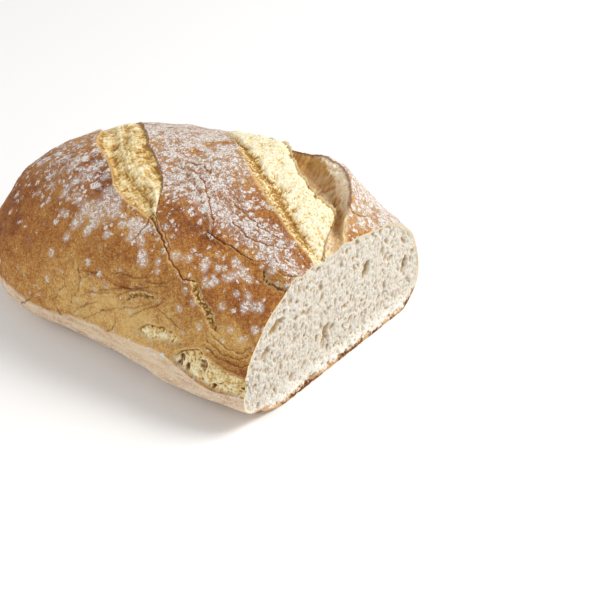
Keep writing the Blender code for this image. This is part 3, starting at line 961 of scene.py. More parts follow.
@dataclass(frozen=True)
class Pattern:
    """Where flour lies on the crust and how brown the crust has baked."""

    flour_level: float = 0.11
    flour: tuple[Patch, ...] = patches(
        (40, 0.440, 40, 11, 0.88), (16, 0.440, 16, 8, 0.60), (75, 0.500, 28, 20, 0.95),
        (110, 0.560, 26, 18, 0.85), (38, 0.352, 20, 9, 0.15), (60, 0.372, 12, 9, 0.40),
        (76, 0.345, 12, 6, 0.35), (88, 0.325, 18, 9, 0.12), (108, 0.372, 22, 12, 0.22),
        (128, 0.400, 28, 20, 0.28), (152, 0.450, 24, 26, 0.34), (14, 0.310, 14, 16, 0.08),
        (8, 0.411, 12, 5, 0.50), (109, 0.343, 7, 6, 0.15), (96, 0.347, 7, 6, 0.15),
        (76, 0.331, 8, 6, 0.25), (30, 0.462, 28, 4.5, -0.45), (9, 0.450, 9, 5, -0.35),
        (6, 0.445, 10, 5, -0.30), (86, 0.506, 4, 2.6, -0.9), (84, 0.533, 4, 2.4, -0.8),
        (80, 0.553, 5, 2.4, -0.7), (60, 0.398, 10, 8, -0.3), (18, 0.650, 26, 12, 0.70),
        (6, 0.560, 7, 9, 0.55), (22, 0.700, 60, 26, 1.00), (60, 0.780, 90, 34, 0.90),
        (120, 0.700, 50, 40, 0.60), (165, 0.600, 30, 50, 0.30), (60, 0.040, 90, 14, 0.15),
        (60, 0.940, 90, 16, 0.35),
    )
    blobs: tuple[tuple[float, float, float], ...] = (  # place, turn, radius in millimetres
        (38.6, 0.341, 1.4), (38.4, 0.329, 1.2), (33.6, 0.311, 1.6), (32.3, 0.343, 1.1),
        (27.5, 0.371, 1.2), (22.6, 0.359, 2.0), (17.0, 0.359, 1.2), (26.2, 0.338, 1.4),
        (22.3, 0.292, 1.4), (12.6, 0.315, 1.4), (35.3, 0.270, 1.1), (41.2, 0.248, 1.1),
        (29.2, 0.238, 1.0), (66.9, 0.288, 1.7), (41.3, 0.281, 1.1), (3.8, 0.290, 1.4),
        (7.1, 0.327, 1.8), (14.5, 0.264, 1.1), (53.5, 0.322, 1.7), (161.9, 0.437, 1.9),
        (135.1, 0.417, 1.6), (124.8, 0.412, 1.8), (136.2, 0.432, 1.9), (120.0, 0.427, 1.9),
        (119.5, 0.394, 1.8), (111.8, 0.406, 1.6), (104.7, 0.380, 1.6), (98.5, 0.380, 2.1),
        (100.5, 0.352, 1.4), (126.7, 0.384, 1.9), (129.0, 0.355, 1.8), (119.3, 0.354, 2.1),
        (108.4, 0.340, 3.2), (100.7, 0.317, 1.6), (103.7, 0.299, 1.4), (95.2, 0.351, 3.2),
        (75.7, 0.330, 1.5), (79.5, 0.346, 1.2), (72.0, 0.316, 1.3), (73.0, 0.345, 1.1),
        (79.0, 0.314, 1.1), (114.6, 0.279, 1.4), (123.3, 0.318, 1.4), (112.0, 0.307, 1.8),
        (121.2, 0.241, 1.4), (81.3, 0.339, 1.4), (86.0, 0.330, 1.2), (91.0, 0.306, 1.3),
        (147.0, 0.400, 1.8), (142.0, 0.370, 1.6), (150.0, 0.350, 1.4), (138.0, 0.335, 1.4),
        (69.0, 0.300, 1.1), (60.0, 0.300, 1.1), (58.0, 0.285, 0.9), (47.0, 0.330, 1.4),
        (30.0, 0.320, 1.1), (14.0, 0.335, 1.2), (19.0, 0.325, 1.0), (66.0, 0.205, 0.9),
        (11.5, 0.389, 1.0), (9.6, 0.401, 1.2), (2.8, 0.412, 1.0), (24.0, 0.715, 16.0),
        (60.0, 0.780, 20.0),
    )
    heap: float = 2.1  # reach of a heap for each millimetre of its radius
    foot: Knots = (  # upper edge of the floury band along the base
        (0, 0.154), (9, 0.150), (17, 0.146), (26, 0.152), (36, 0.162), (46, 0.168), (57, 0.165),
        (70, 0.160), (83, 0.156), (96, 0.152), (109, 0.146), (123, 0.140), (139, 0.142),
        (189, 0.120),
    )
    brown_level: float = 0.47
    brown: tuple[Patch, ...] = patches(
        (8, 0.300, 12, 26, 0.06), (26, 0.330, 22, 14, 0.08), (60, 0.375, 20, 8, 0.24),
        (40, 0.450, 45, 12, 0.20), (108, 0.385, 18, 9, 0.30), (118, 0.425, 18, 8, 0.24),
        (75, 0.185, 48, 16, -0.36), (95, 0.270, 22, 12, 0.08), (150, 0.300, 24, 30, 0.14),
        (172, 0.400, 22, 60, 0.12), (8, 0.207, 12, 4, 0.30), (92, 0.238, 5, 1.2, 0.22),
        (72, 0.238, 14, 1.4, 0.20), (35, 0.285, 8, 3.5, 0.15), (14, 0.300, 16, 7, 0.06),
        (14, 0.240, 14, 11, -0.32), (172, 0.300, 20, 50, 0.06), (40, 0.750, 60, 40, -0.15),
    )

    def flour_over(self, chart: Chart) -> np.ndarray:
        """Density of the strewn flour, 0 to about 1."""
        total = self.flour_level + sum(patch.over(chart) for patch in self.flour)
        return np.clip(total, 0, 1.1)

    def heaps_over(self, chart: Chart) -> np.ndarray:
        """Where the heaps of flour lie.

        Args:
            chart: The grid of the crust.

        Returns:
            1 in the middle of each heap, falling to 0 around it.
        """
        total = sum(
            Patch(at, around, self.heap * size, self.heap * size, 1.0).over(chart)
            for at, around, size in self.blobs
        )
        return np.clip(total, 0, 1)

    def foot_over(self, chart: Chart) -> np.ndarray:
        """Where the floury band along the base lies.

        Args:
            chart: The grid of the crust.

        Returns:
            1 on the band and 0 above it.
        """
        turn = np.minimum(chart.turn, 1 - chart.turn)
        soft = 1 + 2.2 * step(40, 120, chart.place)
        return 1 - step(-0.004, 0.003, (turn - spline(chart.place, self.foot)) / soft)

    def brown_over(self, chart: Chart) -> np.ndarray:
        """How brown the crust is, 0 to 1."""
        total = self.brown_level + sum(patch.over(chart) for patch in self.brown)
        return np.clip(total, 0, 1)


@dataclass(frozen=True)
class Crust:
    """The whole crust: the plain body, what is carved into it, and its strips."""

    body: LoafBody = LoafBody()
    wide: WideScore = WideScore()
    narrow: NarrowScore = NarrowScore()
    cracks: tuple[Crack, ...] = (
        Crack(((69, 0.348), (65, 0.340), (62, 0.332), (58.6, 0.322), (55, 0.313), (52, 0.307),
               (48.4, 0.303), (46.6, 0.297), (43.7, 0.296), (39.6, 0.300)), 0.4, 0.8,
              raised=0.6, dark=0.9),
        Crack(((39.6, 0.300), (38, 0.296), (35, 0.285), (31.3, 0.278), (28, 0.273),
               (26, 0.264), (23.5, 0.253), (21, 0.249)), 2.1, 1.6, raised=0.5, dark=0.6,
              torn=1.0),
        Crack(((75.4, 0.363), (74.3, 0.345), (75.3, 0.331), (76.4, 0.314)), 0.4, 0.5, raised=0.2),
        Crack(((71.7, 0.375), (67.8, 0.384), (63.6, 0.393), (62.2, 0.406)), 0.35, 0.5, dark=0.7),
        Crack(((74, 0.470), (66, 0.462), (60, 0.446), (54, 0.428), (47, 0.405), (44, 0.386)),
              0.6, 0.4, raised=1.0, dark=0.35),
        Crack(((46, 0.386), (40, 0.385), (36, 0.386), (31, 0.389), (27, 0.386), (24, 0.389),
               (20.5, 0.390)), 0.45, 1.0, raised=0.6, dark=0.9),
        Crack(((20.5, 0.390), (17.4, 0.397)), 0.3, 0.4, raised=0.3, dark=0.5),
        Crack(((14.5, 0.386), (14, 0.382), (11.7, 0.376), (8, 0.375), (5, 0.378), (2, 0.381),
               (0, 0.391)), 1.3, 1.9, raised=0.2, dark=0.75, torn=0.6),
        Crack(((9, 0.395), (5, 0.397), (2, 0.405), (0, 0.424)), 0.6, 0.6, raised=0.3, dark=0.6),
        Crack(((12.7, 0.411), (9.6, 0.413)), 0.6, 0.5, raised=0.3, dark=0.55),
        Crack(((11.7, 0.427), (8.2, 0.426)), 0.6, 0.5, raised=0.3, dark=0.55),
        Crack(((69, 0.221), (67.6, 0.228), (64.3, 0.236), (60.8, 0.241), (56, 0.243)), 1.5, 0.9,
              dark=0.7, torn=1.0),
        Crack(((17, 0.202), (12, 0.198), (7, 0.198), (1, 0.199)), 1.5, 0.4, dark=0.5),
        Crack(((13, 0.576), (9.8, 0.569), (8.2, 0.581), (6.6, 0.600)), 0.9, 0.8, raised=0.5,
              dark=0.6, torn=0.9),
        Crack(((82, 0.483), (78, 0.487), (74, 0.486)), 0.9, 0.8, raised=0.6, dark=0.7),
        Crack(((72, 0.487), (69, 0.484), (66, 0.478)), 0.9, 0.9, raised=0.6, dark=0.7),
        Crack(((102, 0.527), (98, 0.518), (94, 0.519)), 0.9, 0.8, raised=0.7, dark=0.5),
        Crack(((139, 0.116), (134, 0.132), (130, 0.144)), 0.6, 0.8),
    )
    hairlines: tuple[Knots, ...] = (
        ((113, 0.181), (108, 0.196)), ((104, 0.184), (104, 0.171)), ((116, 0.163), (113, 0.173)),
        ((122, 0.139), (119, 0.138)), ((130, 0.148), (127, 0.157)), ((114, 0.150), (111, 0.141)),
        ((99, 0.165), (96, 0.177), (94, 0.186)), ((76, 0.171), (77, 0.162), (83, 0.151)),
        ((77, 0.372), (69, 0.360), (63, 0.341), (57, 0.327)), ((60, 0.235), (57, 0.238)),
        ((62, 0.262), (57, 0.267)), ((84, 0.471), (76, 0.468), (69, 0.472)),
    )
    wrinkles: tuple[Knots, ...] = (
        ((96, 0.230), (93, 0.237), (88, 0.247)),
        ((81, 0.247), (76.5, 0.257), (71, 0.258), (65, 0.263), (60, 0.272)),
        ((88, 0.211), (78, 0.228), (69, 0.240), (59, 0.256)),
        ((75, 0.220), (69, 0.236), (64, 0.247), (59, 0.250), (54, 0.253)),
        ((103, 0.155), (99, 0.170), (94, 0.181), (89, 0.191)),
        ((86, 0.179), (78, 0.193), (70, 0.206), (61, 0.221), (56, 0.234)),
        ((102, 0.239), (100, 0.219), (100.5, 0.200), (103, 0.184)),
        ((96, 0.153), (90, 0.169), (84, 0.183)),
        ((59, 0.263), (54, 0.269), (49, 0.286)),
        ((76, 0.250), (70, 0.256)), ((56, 0.261), (51.5, 0.269)),
        ((66, 0.198), (58, 0.220), (52, 0.237), (49.7, 0.253)),
        ((50, 0.228), (44, 0.224), (39.5, 0.220)),
        ((98, 0.190), (92, 0.207), (87, 0.208), (79, 0.221)),
        ((23, 0.224), (14, 0.217), (5, 0.224), (2, 0.240)),
        ((22, 0.214), (15, 0.208), (6, 0.210), (1, 0.222)),
        ((21, 0.236), (13, 0.230), (5, 0.236), (2, 0.258)),
        ((49, 0.455), (38, 0.450), (28, 0.444), (18, 0.447)),
        ((40, 0.425), (30, 0.418), (22, 0.424), (14, 0.437)),
    )
    tears: tuple[Tear, ...] = (
        Tear(
            top=((34, 0.193), (37, 0.200), (42, 0.207), (50, 0.206), (55, 0.202), (59, 0.193),
                 (62, 0.181)),
            foot=((34, 0.190), (38, 0.190), (44, 0.186), (49, 0.180), (54, 0.176), (58, 0.176),
                  (62, 0.179)),
            depth=2.0,
        ),
        Tear(
            top=((0, 0.193), (7, 0.192), (12, 0.192), (17, 0.196), (21, 0.200), (27, 0.203),
                 (30, 0.198), (36, 0.184), (40, 0.172)),
            foot=((0, 0.156), (3, 0.152), (9, 0.151), (16, 0.147), (21, 0.152), (26, 0.153),
                  (31, 0.158), (36, 0.159), (40, 0.170)),
            depth=2.6,
            holes=((34.8, 0.175, 1.8, 1.3), (35.5, 0.166, 1.5, 1.2), (22.7, 0.182, 1.7, 2.6),
                   (31, 0.164, 1.0, 1.6)),
        ),
    )
    fold: tuple[float, ...] = (4.5, 0.399, 9.0, 0.017, 3.3)  # place, turn, half-sizes, height
    corner: tuple[float, ...] = (9.0, 0.510, 0.610, 1.6)  # length, first and last turn, depth
    hair: tuple[float, ...] = (0.3, 0.35, 0.25, 0.7)  # half-width, depth, raised and dark
    crease: tuple[float, ...] = (0.42, 0.5, 0.45, 0.55)
    blend_at_tip: tuple[float, float] = (0.965, 0.997)  # both sides of the sheet meet there
    # Place, turn and millimetres outward, solved by least squares so that the outline of the
    # plain body meets that of the loaf
    settling: tuple[tuple[float, float, float], ...] = (
        (0, 0.10, -0.8), (0, 0.20, 1.8), (0, 0.62, -2.1), (0, 0.75, -1.6), (35, 0.10, 0.9),
        (35, 0.20, 0.8), (35, 0.62, 0.4), (35, 0.75, 1.1), (70, 0.10, -1.1), (70, 0.50, -0.4),
        (70, 0.62, -1.0), (105, 0.10, -2.0), (105, 0.20, -0.9), (105, 0.62, 0.4), (140, 0.10, 1.6),
        (140, 0.20, 1.1), (140, 0.33, -0.4), (140, 0.50, 1.5), (140, 0.62, 0.5), (175, 0.10, 1.1),
        (175, 0.33, -2.4), (175, 0.50, 0.8), (175, 0.62, 1.5),
    )
    sag_reach: tuple[float, float] = (34, 26)  # along and around, in millimetres
    # Where the skin was stretched into fine lines as the loaf rose
    stretched: tuple[Patch, ...] = patches(
        (78, 0.240, 34, 11, 1.0), (118, 0.160, 30, 8, 0.6), (20, 0.215, 22, 6, 0.5),
    )
    pattern: Pattern = Pattern()
    stations: int = 640
    line_counts: tuple[int, ...] = (72, 155, 96, 124, 90, 150, 150, 72)  # of each zone
    seed: int = 21

    def chart(self, grain: Grain) -> Chart:
        """The grid of places, evenly spaced along the front and gathered at the lips.

        Args:
            grain: The noise.

        Returns:
            The grid, with its lines.
        """
        fine = np.sin(np.linspace(0, np.pi / 2, 4000))
        outline = self.body.points(fine, np.full_like(fine, self.body.lower_share + 0.001))
        steps = np.linalg.norm(np.diff(outline, axis=0), axis=1)
        travelled = np.concatenate([[0], steps.cumsum()])
        share = np.interp(np.linspace(0, travelled[-1], self.stations), travelled, fine)
        share = share[:, None]
        place = share * self.body.length
        lines = {**self.narrow.edges(place, grain), **self.wide.edges(place, grain)}
        lower = np.full_like(place, self.body.lower_share)
        edges = (0 * place, lower, *lines.values(), 1 - lower, 1 + 0 * place)
        parts = []
        for first, last, count in zip(edges, edges[1:], self.line_counts):
            parts.append(first + (last - first) * np.arange(count) / count)
        turn = np.concatenate([*parts, edges[-1]], axis=1)
        marks = tuple(int(mark) for mark in np.cumsum((0, *self.line_counts)))
        return Chart(self.body, share, turn, marks, lines)

    def relief(self, chart: Chart, points: np.ndarray, grain: Grain) -> Relief:
        """All that is carved into the crust.

        Args:
            chart: The grid of the crust.
            points: The plain body's points, in millimetres.
            grain: The noise.

        Returns:
            The heights and the tones.
        """
        relief = Relief.level(chart.turn.shape)
        self.wide.carve(relief, chart, points, grain)
        self.narrow.carve(relief, chart, points, grain)
        skin = 1 - np.clip(relief.bloom + relief.hollow, 0, 1)
        shake = [grain.cloud(points + 91 * k, 3.4, 3, 0.6) for k in (1, 2)]
        shake.append(grain.lumps(points + 17, 2.4, 2, 0.6) - 0.42)
        warped = chart.flat + np.stack(shake, axis=-1) * (0.8, 0.8, 1.0)
        hairs = (Crack(line, *self.hair) for line in self.hairlines)
        creases = (Crack(line, *self.crease) for line in self.wrinkles)
        for crack in (*self.cracks, *hairs, *creases):
            crack.carve(relief, chart, warped)
        for tear in self.tears:
            tear.carve(relief, chart, points, grain)
        place, turn = chart.place, chart.turn
        at, around_at, length, breadth, height = self.fold
        shape = ((place - at) / length) ** 4 + ((turn - around_at) / breadth) ** 4
        lump = np.exp(-shape * (1 + 0.5 * shake[0]))
        relief.rise += height * lump * (1 + 0.35 * shake[1])
        reach, first, last, depth = self.corner
        relief.rise -= depth * (1 - step(2, reach, place)) * step(first, first + 0.02, turn) * (
            1 - step(last, last + 0.03, turn)
        )
        self.skin(relief, chart, points, grain, skin)
        sags = (Patch(*at, *self.sag_reach, sag) for *at, sag in self.settling)
        relief.rise += sum(patch.over(chart) for patch in sags)
        away_from_tip = 1 - step(*self.blend_at_tip, chart.share)
        relief.rise = relief.rise * away_from_tip + self.body.swell(points)
        relief.slide *= away_from_tip
        relief.rise *= step(0, 0.05, turn) * step(0, 0.05, 1 - turn)
        return relief

    def skin(
        self, relief: Relief, chart: Chart, points: np.ndarray, grain: Grain, bare: np.ndarray
    ) -> None:
        """Adds the fine unevenness of the baked skin: blisters, wrinkles and stretched lines.

        Args:
            relief: The relief so far.
            chart: The grid of the crust.
            points: The plain body's points, in millimetres.
            grain: The noise.
            bare: 1 where the skin is whole.
        """
        crest = bell(chart.turn - 0.46, 0.11)
        bumps = (0.26 + 0.3 * crest) * grain.cloud(points, 8.0, 3, 0.55)
        leather = (0.2 + 0.3 * crest) * (grain.lumps(points + 300, 3.0, 3, 0.7) - 0.4)
        stretched = sum(patch.over(chart) for patch in self.stretched)
        stretched = stretched + bell(chart.turn - 0.79, 0.07)
        wavy = chart.flat + 3.0 * grain.single(points, 17.0)[..., None] * (0, 1, 0)
        lines = step(0.3, 0.0, grain.lumps(wavy, (26.0, 2.8, 9.0), 2, 0.7))
        lines = lines * np.clip(stretched, 0, 1) * step(-0.3, 0.4, grain.cloud(points, 11.0, 2))
        relief.rise += bare * (bumps + leather - 0.7 * lines)
        relief.add("dark", bare * 0.5 * lines)

    def base(self, points: np.ndarray, place: np.ndarray) -> np.ndarray:
        """Heights of the base, which is flat but for its ragged edge at the cut.

        Args:
            points: Points of the base, in millimetres.
            place: Their distances from the cut.

        Returns:
            The heights in millimetres.
        """
        ragged = Grain(self.seed).cloud(points * (0, 1, 0), 9.0, 4, 0.7)
        return 1.1 * np.clip(ragged, 0, 1) * bell(place, 4)

    def surface(self) -> tuple[Chart, np.ndarray, Relief]:
        """The finished crust, with painted shade in its low spots.

        Returns:
            The chart, the points in millimetres and the relief with its tones.
        """
        grain = Grain(self.seed)
        chart = self.chart(grain)
        plain = self.body.points(chart.share, chart.turn)
        relief = self.relief(chart, plain, grain)
        outward, around = self.body.directions(chart.share, chart.turn)
        points = plain + outward * relief.rise[..., None] + around * relief.slide[..., None]
        points[:, (0, -1), 2] = self.base(points[:, (0, -1)], chart.place)
        points[0, :, 0] = 0.0
        points[..., 0] = np.minimum(points[..., 0], 0.0)
        relief.low[:] = blurred(relief.rise, 2) - relief.rise
        # Painted shade: the crust is darkened where it lies below what is around it, and the bloom
        # turns golden in its hollows and paler on its bumps.
        sunk = blurred(relief.rise, 5) - relief.rise
        torn = np.clip(relief.bloom, 0, 1)
        shade = 0.5 * step(0.12, 1.1, sunk) + 0.3 * step(0.08, 0.4, relief.low)
        relief.add("dark", shade * (1 - torn))
        relief.gold += torn * 1.6 * np.clip(relief.low, -0.25, 0.4)
        return chart, points, relief


def leant(y: np.ndarray, z: np.ndarray, lean: float) -> tuple[np.ndarray, np.ndarray]:
    """Places across and along a line that leans by the given degrees from upright."""
    turn = np.radians(lean)
    return y * np.cos(turn) - z * np.sin(turn), y * np.sin(turn) + z * np.cos(turn)


def facing(points: np.ndarray) -> np.ndarray:
    """Finds which way a surface faces.

    Args:
        points: The table of points.

    Returns:
        The vectors, one for each point.
    """
    across, along = np.gradient(points, axis=1), np.gradient(points, axis=0)
    normal = np.cross(across, along)
    return normal / (np.linalg.norm(normal, axis=-1, keepdims=True) + 1e-12)


def piece(
    name: str,
    points: np.ndarray,
    outward: np.ndarray,
    tones: dict[str, np.ndarray],
    material: bpy.types.Material,
) -> None:
    """Makes one piece of the loaf from a grid laid on the given points, riding on the loaf.

    Args:
        name: The piece's name.
        points: A table of points, in metres.
        outward: Which way the surface faces at each of them.
        tones: Named colours that the material reads, each a table of four numbers.
        material: The piece's finish.
    """
    rows, columns = points.shape[:2]
    bpy.ops.object.select_all(action="DESELECT")
    bpy.ops.mesh.primitive_grid_add(x_subdivisions=columns - 1, y_subdivisions=rows - 1, size=1)
    made = bpy.context.object
    made.name = name
    mesh = made.data
    mesh.name = name
    mesh.vertices.foreach_set("co", points.reshape(-1).astype(np.float32))
    for label, values in tones.items():
        layer = mesh.attributes.new(label, "FLOAT_COLOR", "POINT")
        layer.data.foreach_set("color", values.reshape(-1).astype(np.float32))
    layer = mesh.attributes.new("outward", "FLOAT_VECTOR", "POINT")
    layer.data.foreach_set("vector", outward.reshape(-1).astype(np.float32))
    mesh.materials.clear()
    mesh.materials.append(material)
    bpy.ops.object.mode_set(mode="EDIT")
    bpy.ops.mesh.select_all(action="SELECT")
    bpy.ops.mesh.remove_doubles(threshold=2e-6)
    bpy.ops.mesh.dissolve_degenerate(threshold=1e-7)
    bpy.ops.object.mode_set(mode="OBJECT")
    mesh = made.data
    kept = np.empty(len(mesh.vertices) * 3, np.float32)
    mesh.attributes["outward"].data.foreach_get("vector", kept)
    mesh.attributes.remove(mesh.attributes["outward"])
    bpy.ops.object.shade_smooth()
    mesh.normals_split_custom_set_from_vertices(kept.reshape(-1, 3).tolist())
    made.select_set(False)
    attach(made, "root")
    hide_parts("loaf")
    log.info("%s: %d faces", name, len(mesh.polygons))


@dataclass(frozen=True)
class CrumbFace:
    """The cut: cream-white crumb, with pores and larger holes, inside its rind."""

    columns: int = 520
    rows: int = 188
    # y, z, half-length, half-width, lean in degrees, depth
    holes: tuple[tuple[float, ...], ...] = (
        (-42.0, 45.3, 6.2, 3.0, 66, 3.2), (-50.4, 34.9, 4.8, 2.9, 43, 2.8),
        (-5.8, 20.5, 6.4, 2.9, 27, 3.0), (-0.6, 21.5, 2.8, 1.9, 38, 2.2),
        (25.6, 39.1, 5.6, 2.9, 27, 3.0), (-28.7, 30.3, 2.9, 1.8, 52, 2.0),
        (9.3, 28.1, 3.3, 1.7, 90, 1.9), (-18.3, 40.2, 2.9, 1.9, 66, 1.8),
        (-31.6, 11.4, 2.8, 2.1, 57, 2.0), (-46.5, 15.0, 1.7, 1.4, 70, 1.5),
        (56.6, 25.5, 5.2, 2.5, 19, 3.4), (55.9, 40.0, 4.0, 1.3, -26, 1.9),
        (41.7, 38.5, 2.7, 1.5, 20, 1.8), (42.0, 46.7, 2.7, 1.3, -20, 1.6),
        (-8.0, 42.5, 2.6, 1.5, 50, 1.8), (40.1, 18.3, 2.4, 1.6, 16, 1.8),
        (-16.0, 1.9, 3.4, 1.6, 70, 2.4), (5.5, 1.4, 2.6, 1.5, 80, 2.2),
    )
    pores: int = 2600
    smallest: float = 0.34  # half-widths of the pores
    largest: float = 1.5
    spread: float = 0.42  # the higher, the more of them are large
    lean: float = 20.0  # degrees from upright
    lean_spread: float = 24.0
    bowl: float = 0.6  # the lower, the steeper the walls of a hollow
    cell: float = 0.2
    seed: int = 5

    def hollows(self, y: np.ndarray, z: np.ndarray) -> np.ndarray:
        """How far the crumb lies behind the plane of the cut.

        Args:
            y: Places across the cut, in millimetres.
            z: Heights on the cut.

        Returns:
            Depths in millimetres.
        """
        rng = np.random.default_rng(self.seed)
        grain = Grain(self.seed)
        low_y, low_z = y.min() - 2, z.min() - 2
        across = np.arange(low_y, y.max() + 2, self.cell)
        up = np.arange(low_z, z.max() + 2, self.cell)
        flat = np.stack([*np.meshgrid(across, up), np.zeros((len(up), len(across)))], axis=-1)
        shake = [grain.cloud(flat + 60 * k, 3.2, 3, 0.6) for k in (1, 2)]
        warped_y, warped_z = flat[..., 0] + 0.8 * shake[0], flat[..., 1] + 0.8 * shake[1]
        table = np.zeros(flat.shape[:2])
        widths = self.smallest * (1 - rng.random(self.pores)) ** -self.spread
        widths = np.minimum(widths, self.largest)
        found = []
        for width in widths:
            at_y, at_z = rng.uniform(low_y, across[-1]), rng.uniform(low_z, up[-1])
            length = width * rng.uniform(1.0, 2.3)
            lean = self.lean + rng.normal(0, self.lean_spread)
            found.append((at_y, at_z, length, width, lean, width * rng.uniform(0.6, 1.15)))
        for at_y, at_z, length, width, lean, deep in (*found, *self.holes):
            reach = length + 2.0
            top, bottom = np.searchsorted(up, (at_z + reach, at_z - reach))
            left, right = np.searchsorted(across, (at_y - reach, at_y + reach))
            window = (slice(bottom, top), slice(left, right))
            gap_y, gap_z = warped_y[window] - at_y, warped_z[window] - at_z
            beside, along = leant(gap_y, gap_z, lean)
            inside = 1 - (along / length) ** 2 - (beside / width) ** 2
            bowl = deep * np.clip(inside, 0, 1) ** self.bowl
            table[window] = np.maximum(table[window], bowl)
        leaning = np.stack([*leant(flat[..., 0], flat[..., 1], self.lean), flat[..., 2]], axis=-1)
        cells = 1.1 * grain.lumps(leaning, (2.2, 4.0, 3.0), 3, 0.66)
        table = 0.9 * table + cells * (1 - 0.8 * step(0.4, 1.5, table))
        table += 0.5 * grain.cloud(flat, 5.5, 2, 0.6)
        at = (z - low_z) / self.cell, (y - low_y) / self.cell
        row, column = (np.floor(a).astype(int) for a in at)
        part_r, part_c = at[0] - row, at[1] - column
        upper = table[row, column] * (1 - part_c) + table[row, column + 1] * part_c
        lower = table[row + 1, column] * (1 - part_c) + table[row + 1, column + 1] * part_c
        return upper * (1 - part_r) + lower * part_r

    @staticmethod
    def evenly(line: np.ndarray, count: int) -> np.ndarray:
        """Spaces points evenly along a line.

        Args:
            line: A row of points.
            count: How many points are wanted.

        Returns:
            The new row of points.
        """
        steps = np.linalg.norm(np.diff(line, axis=0), axis=1)
        travelled = np.concatenate([[0], steps.cumsum()])
        wanted = np.linspace(0, travelled[-1], count)
        return np.stack([np.interp(wanted, travelled, line[:, k]) for k in range(3)], axis=-1)

    def build(
        self,
        crust: Crust,
        chart: Chart,
        edge: np.ndarray,
        torn: np.ndarray,
        finish: CrumbFinish,
    ) -> None:
        """Makes the crumb of the cut.

        Args:
            crust: The crust.
            chart: Its chart.
            edge: The crust's points around the cut, in millimetres.
            torn: 1 at the points where no crust lies over the crumb.
            finish: The crumb's finish.
        """
        front, back = chart.marks[1], chart.marks[-2]
        base = np.linspace(edge[0], edge[-1], 200)
        base[:, 2] = crust.base(base, 0 * base[:, 2])
        base = base[1:-1]
        top = self.evenly(edge[front : back + 1], self.columns)
        lower = np.concatenate([edge[front::-1], base, edge[: back - 1 : -1]])
        bottom = self.evenly(lower, self.columns)
        shares = np.linspace(0, 1, self.rows)[:, None, None]
        points = bottom + (top - bottom) * shares
        outline = np.concatenate([top, bottom])[:, 1:]
        rim = np.full(points.shape[:2], np.inf)
        rind = np.ones(points.shape[:2])
        across = np.cumsum(np.linalg.norm(np.diff(edge, axis=0, prepend=edge[:1]), axis=1))
        covered = np.stack([across, 1 - torn, 0 * torn], -1)[front : back + 1]
        crusty = self.evenly(covered, self.columns)[:, 1]
        crusty = np.concatenate([crusty, np.ones(self.columns)])
        for k in range(0, len(outline), 2):
            away = np.hypot(*(points[..., 1:] - outline[k]).transpose(2, 0, 1))
            rind = np.where(away < rim, crusty[k], rind)
            rim = np.minimum(rim, away)
        deep = self.hollows(points[..., 1], points[..., 2]) * step(0.4, 2.3, rim)
        points[..., 0] = -deep
        low = np.clip(1 - points[..., 2] / 12, 0, 1) * (1 - shares[..., 0])
        # Painted shade: the crumb is coloured darker in its pores and holes, most where they sink
        # below what is around them.
        pit_shade = np.clip(0.13 * deep + 0.5 * (deep - blurred(deep, 5)), 0, 1)
        tones = {"crumb": np.stack([pit_shade, np.clip(rim / 8, 0, 1), low, rind], axis=-1)}
        settled = chart.body.settled(points)
        piece("cut_crumb", settled, facing(settled), tones, finish.material())


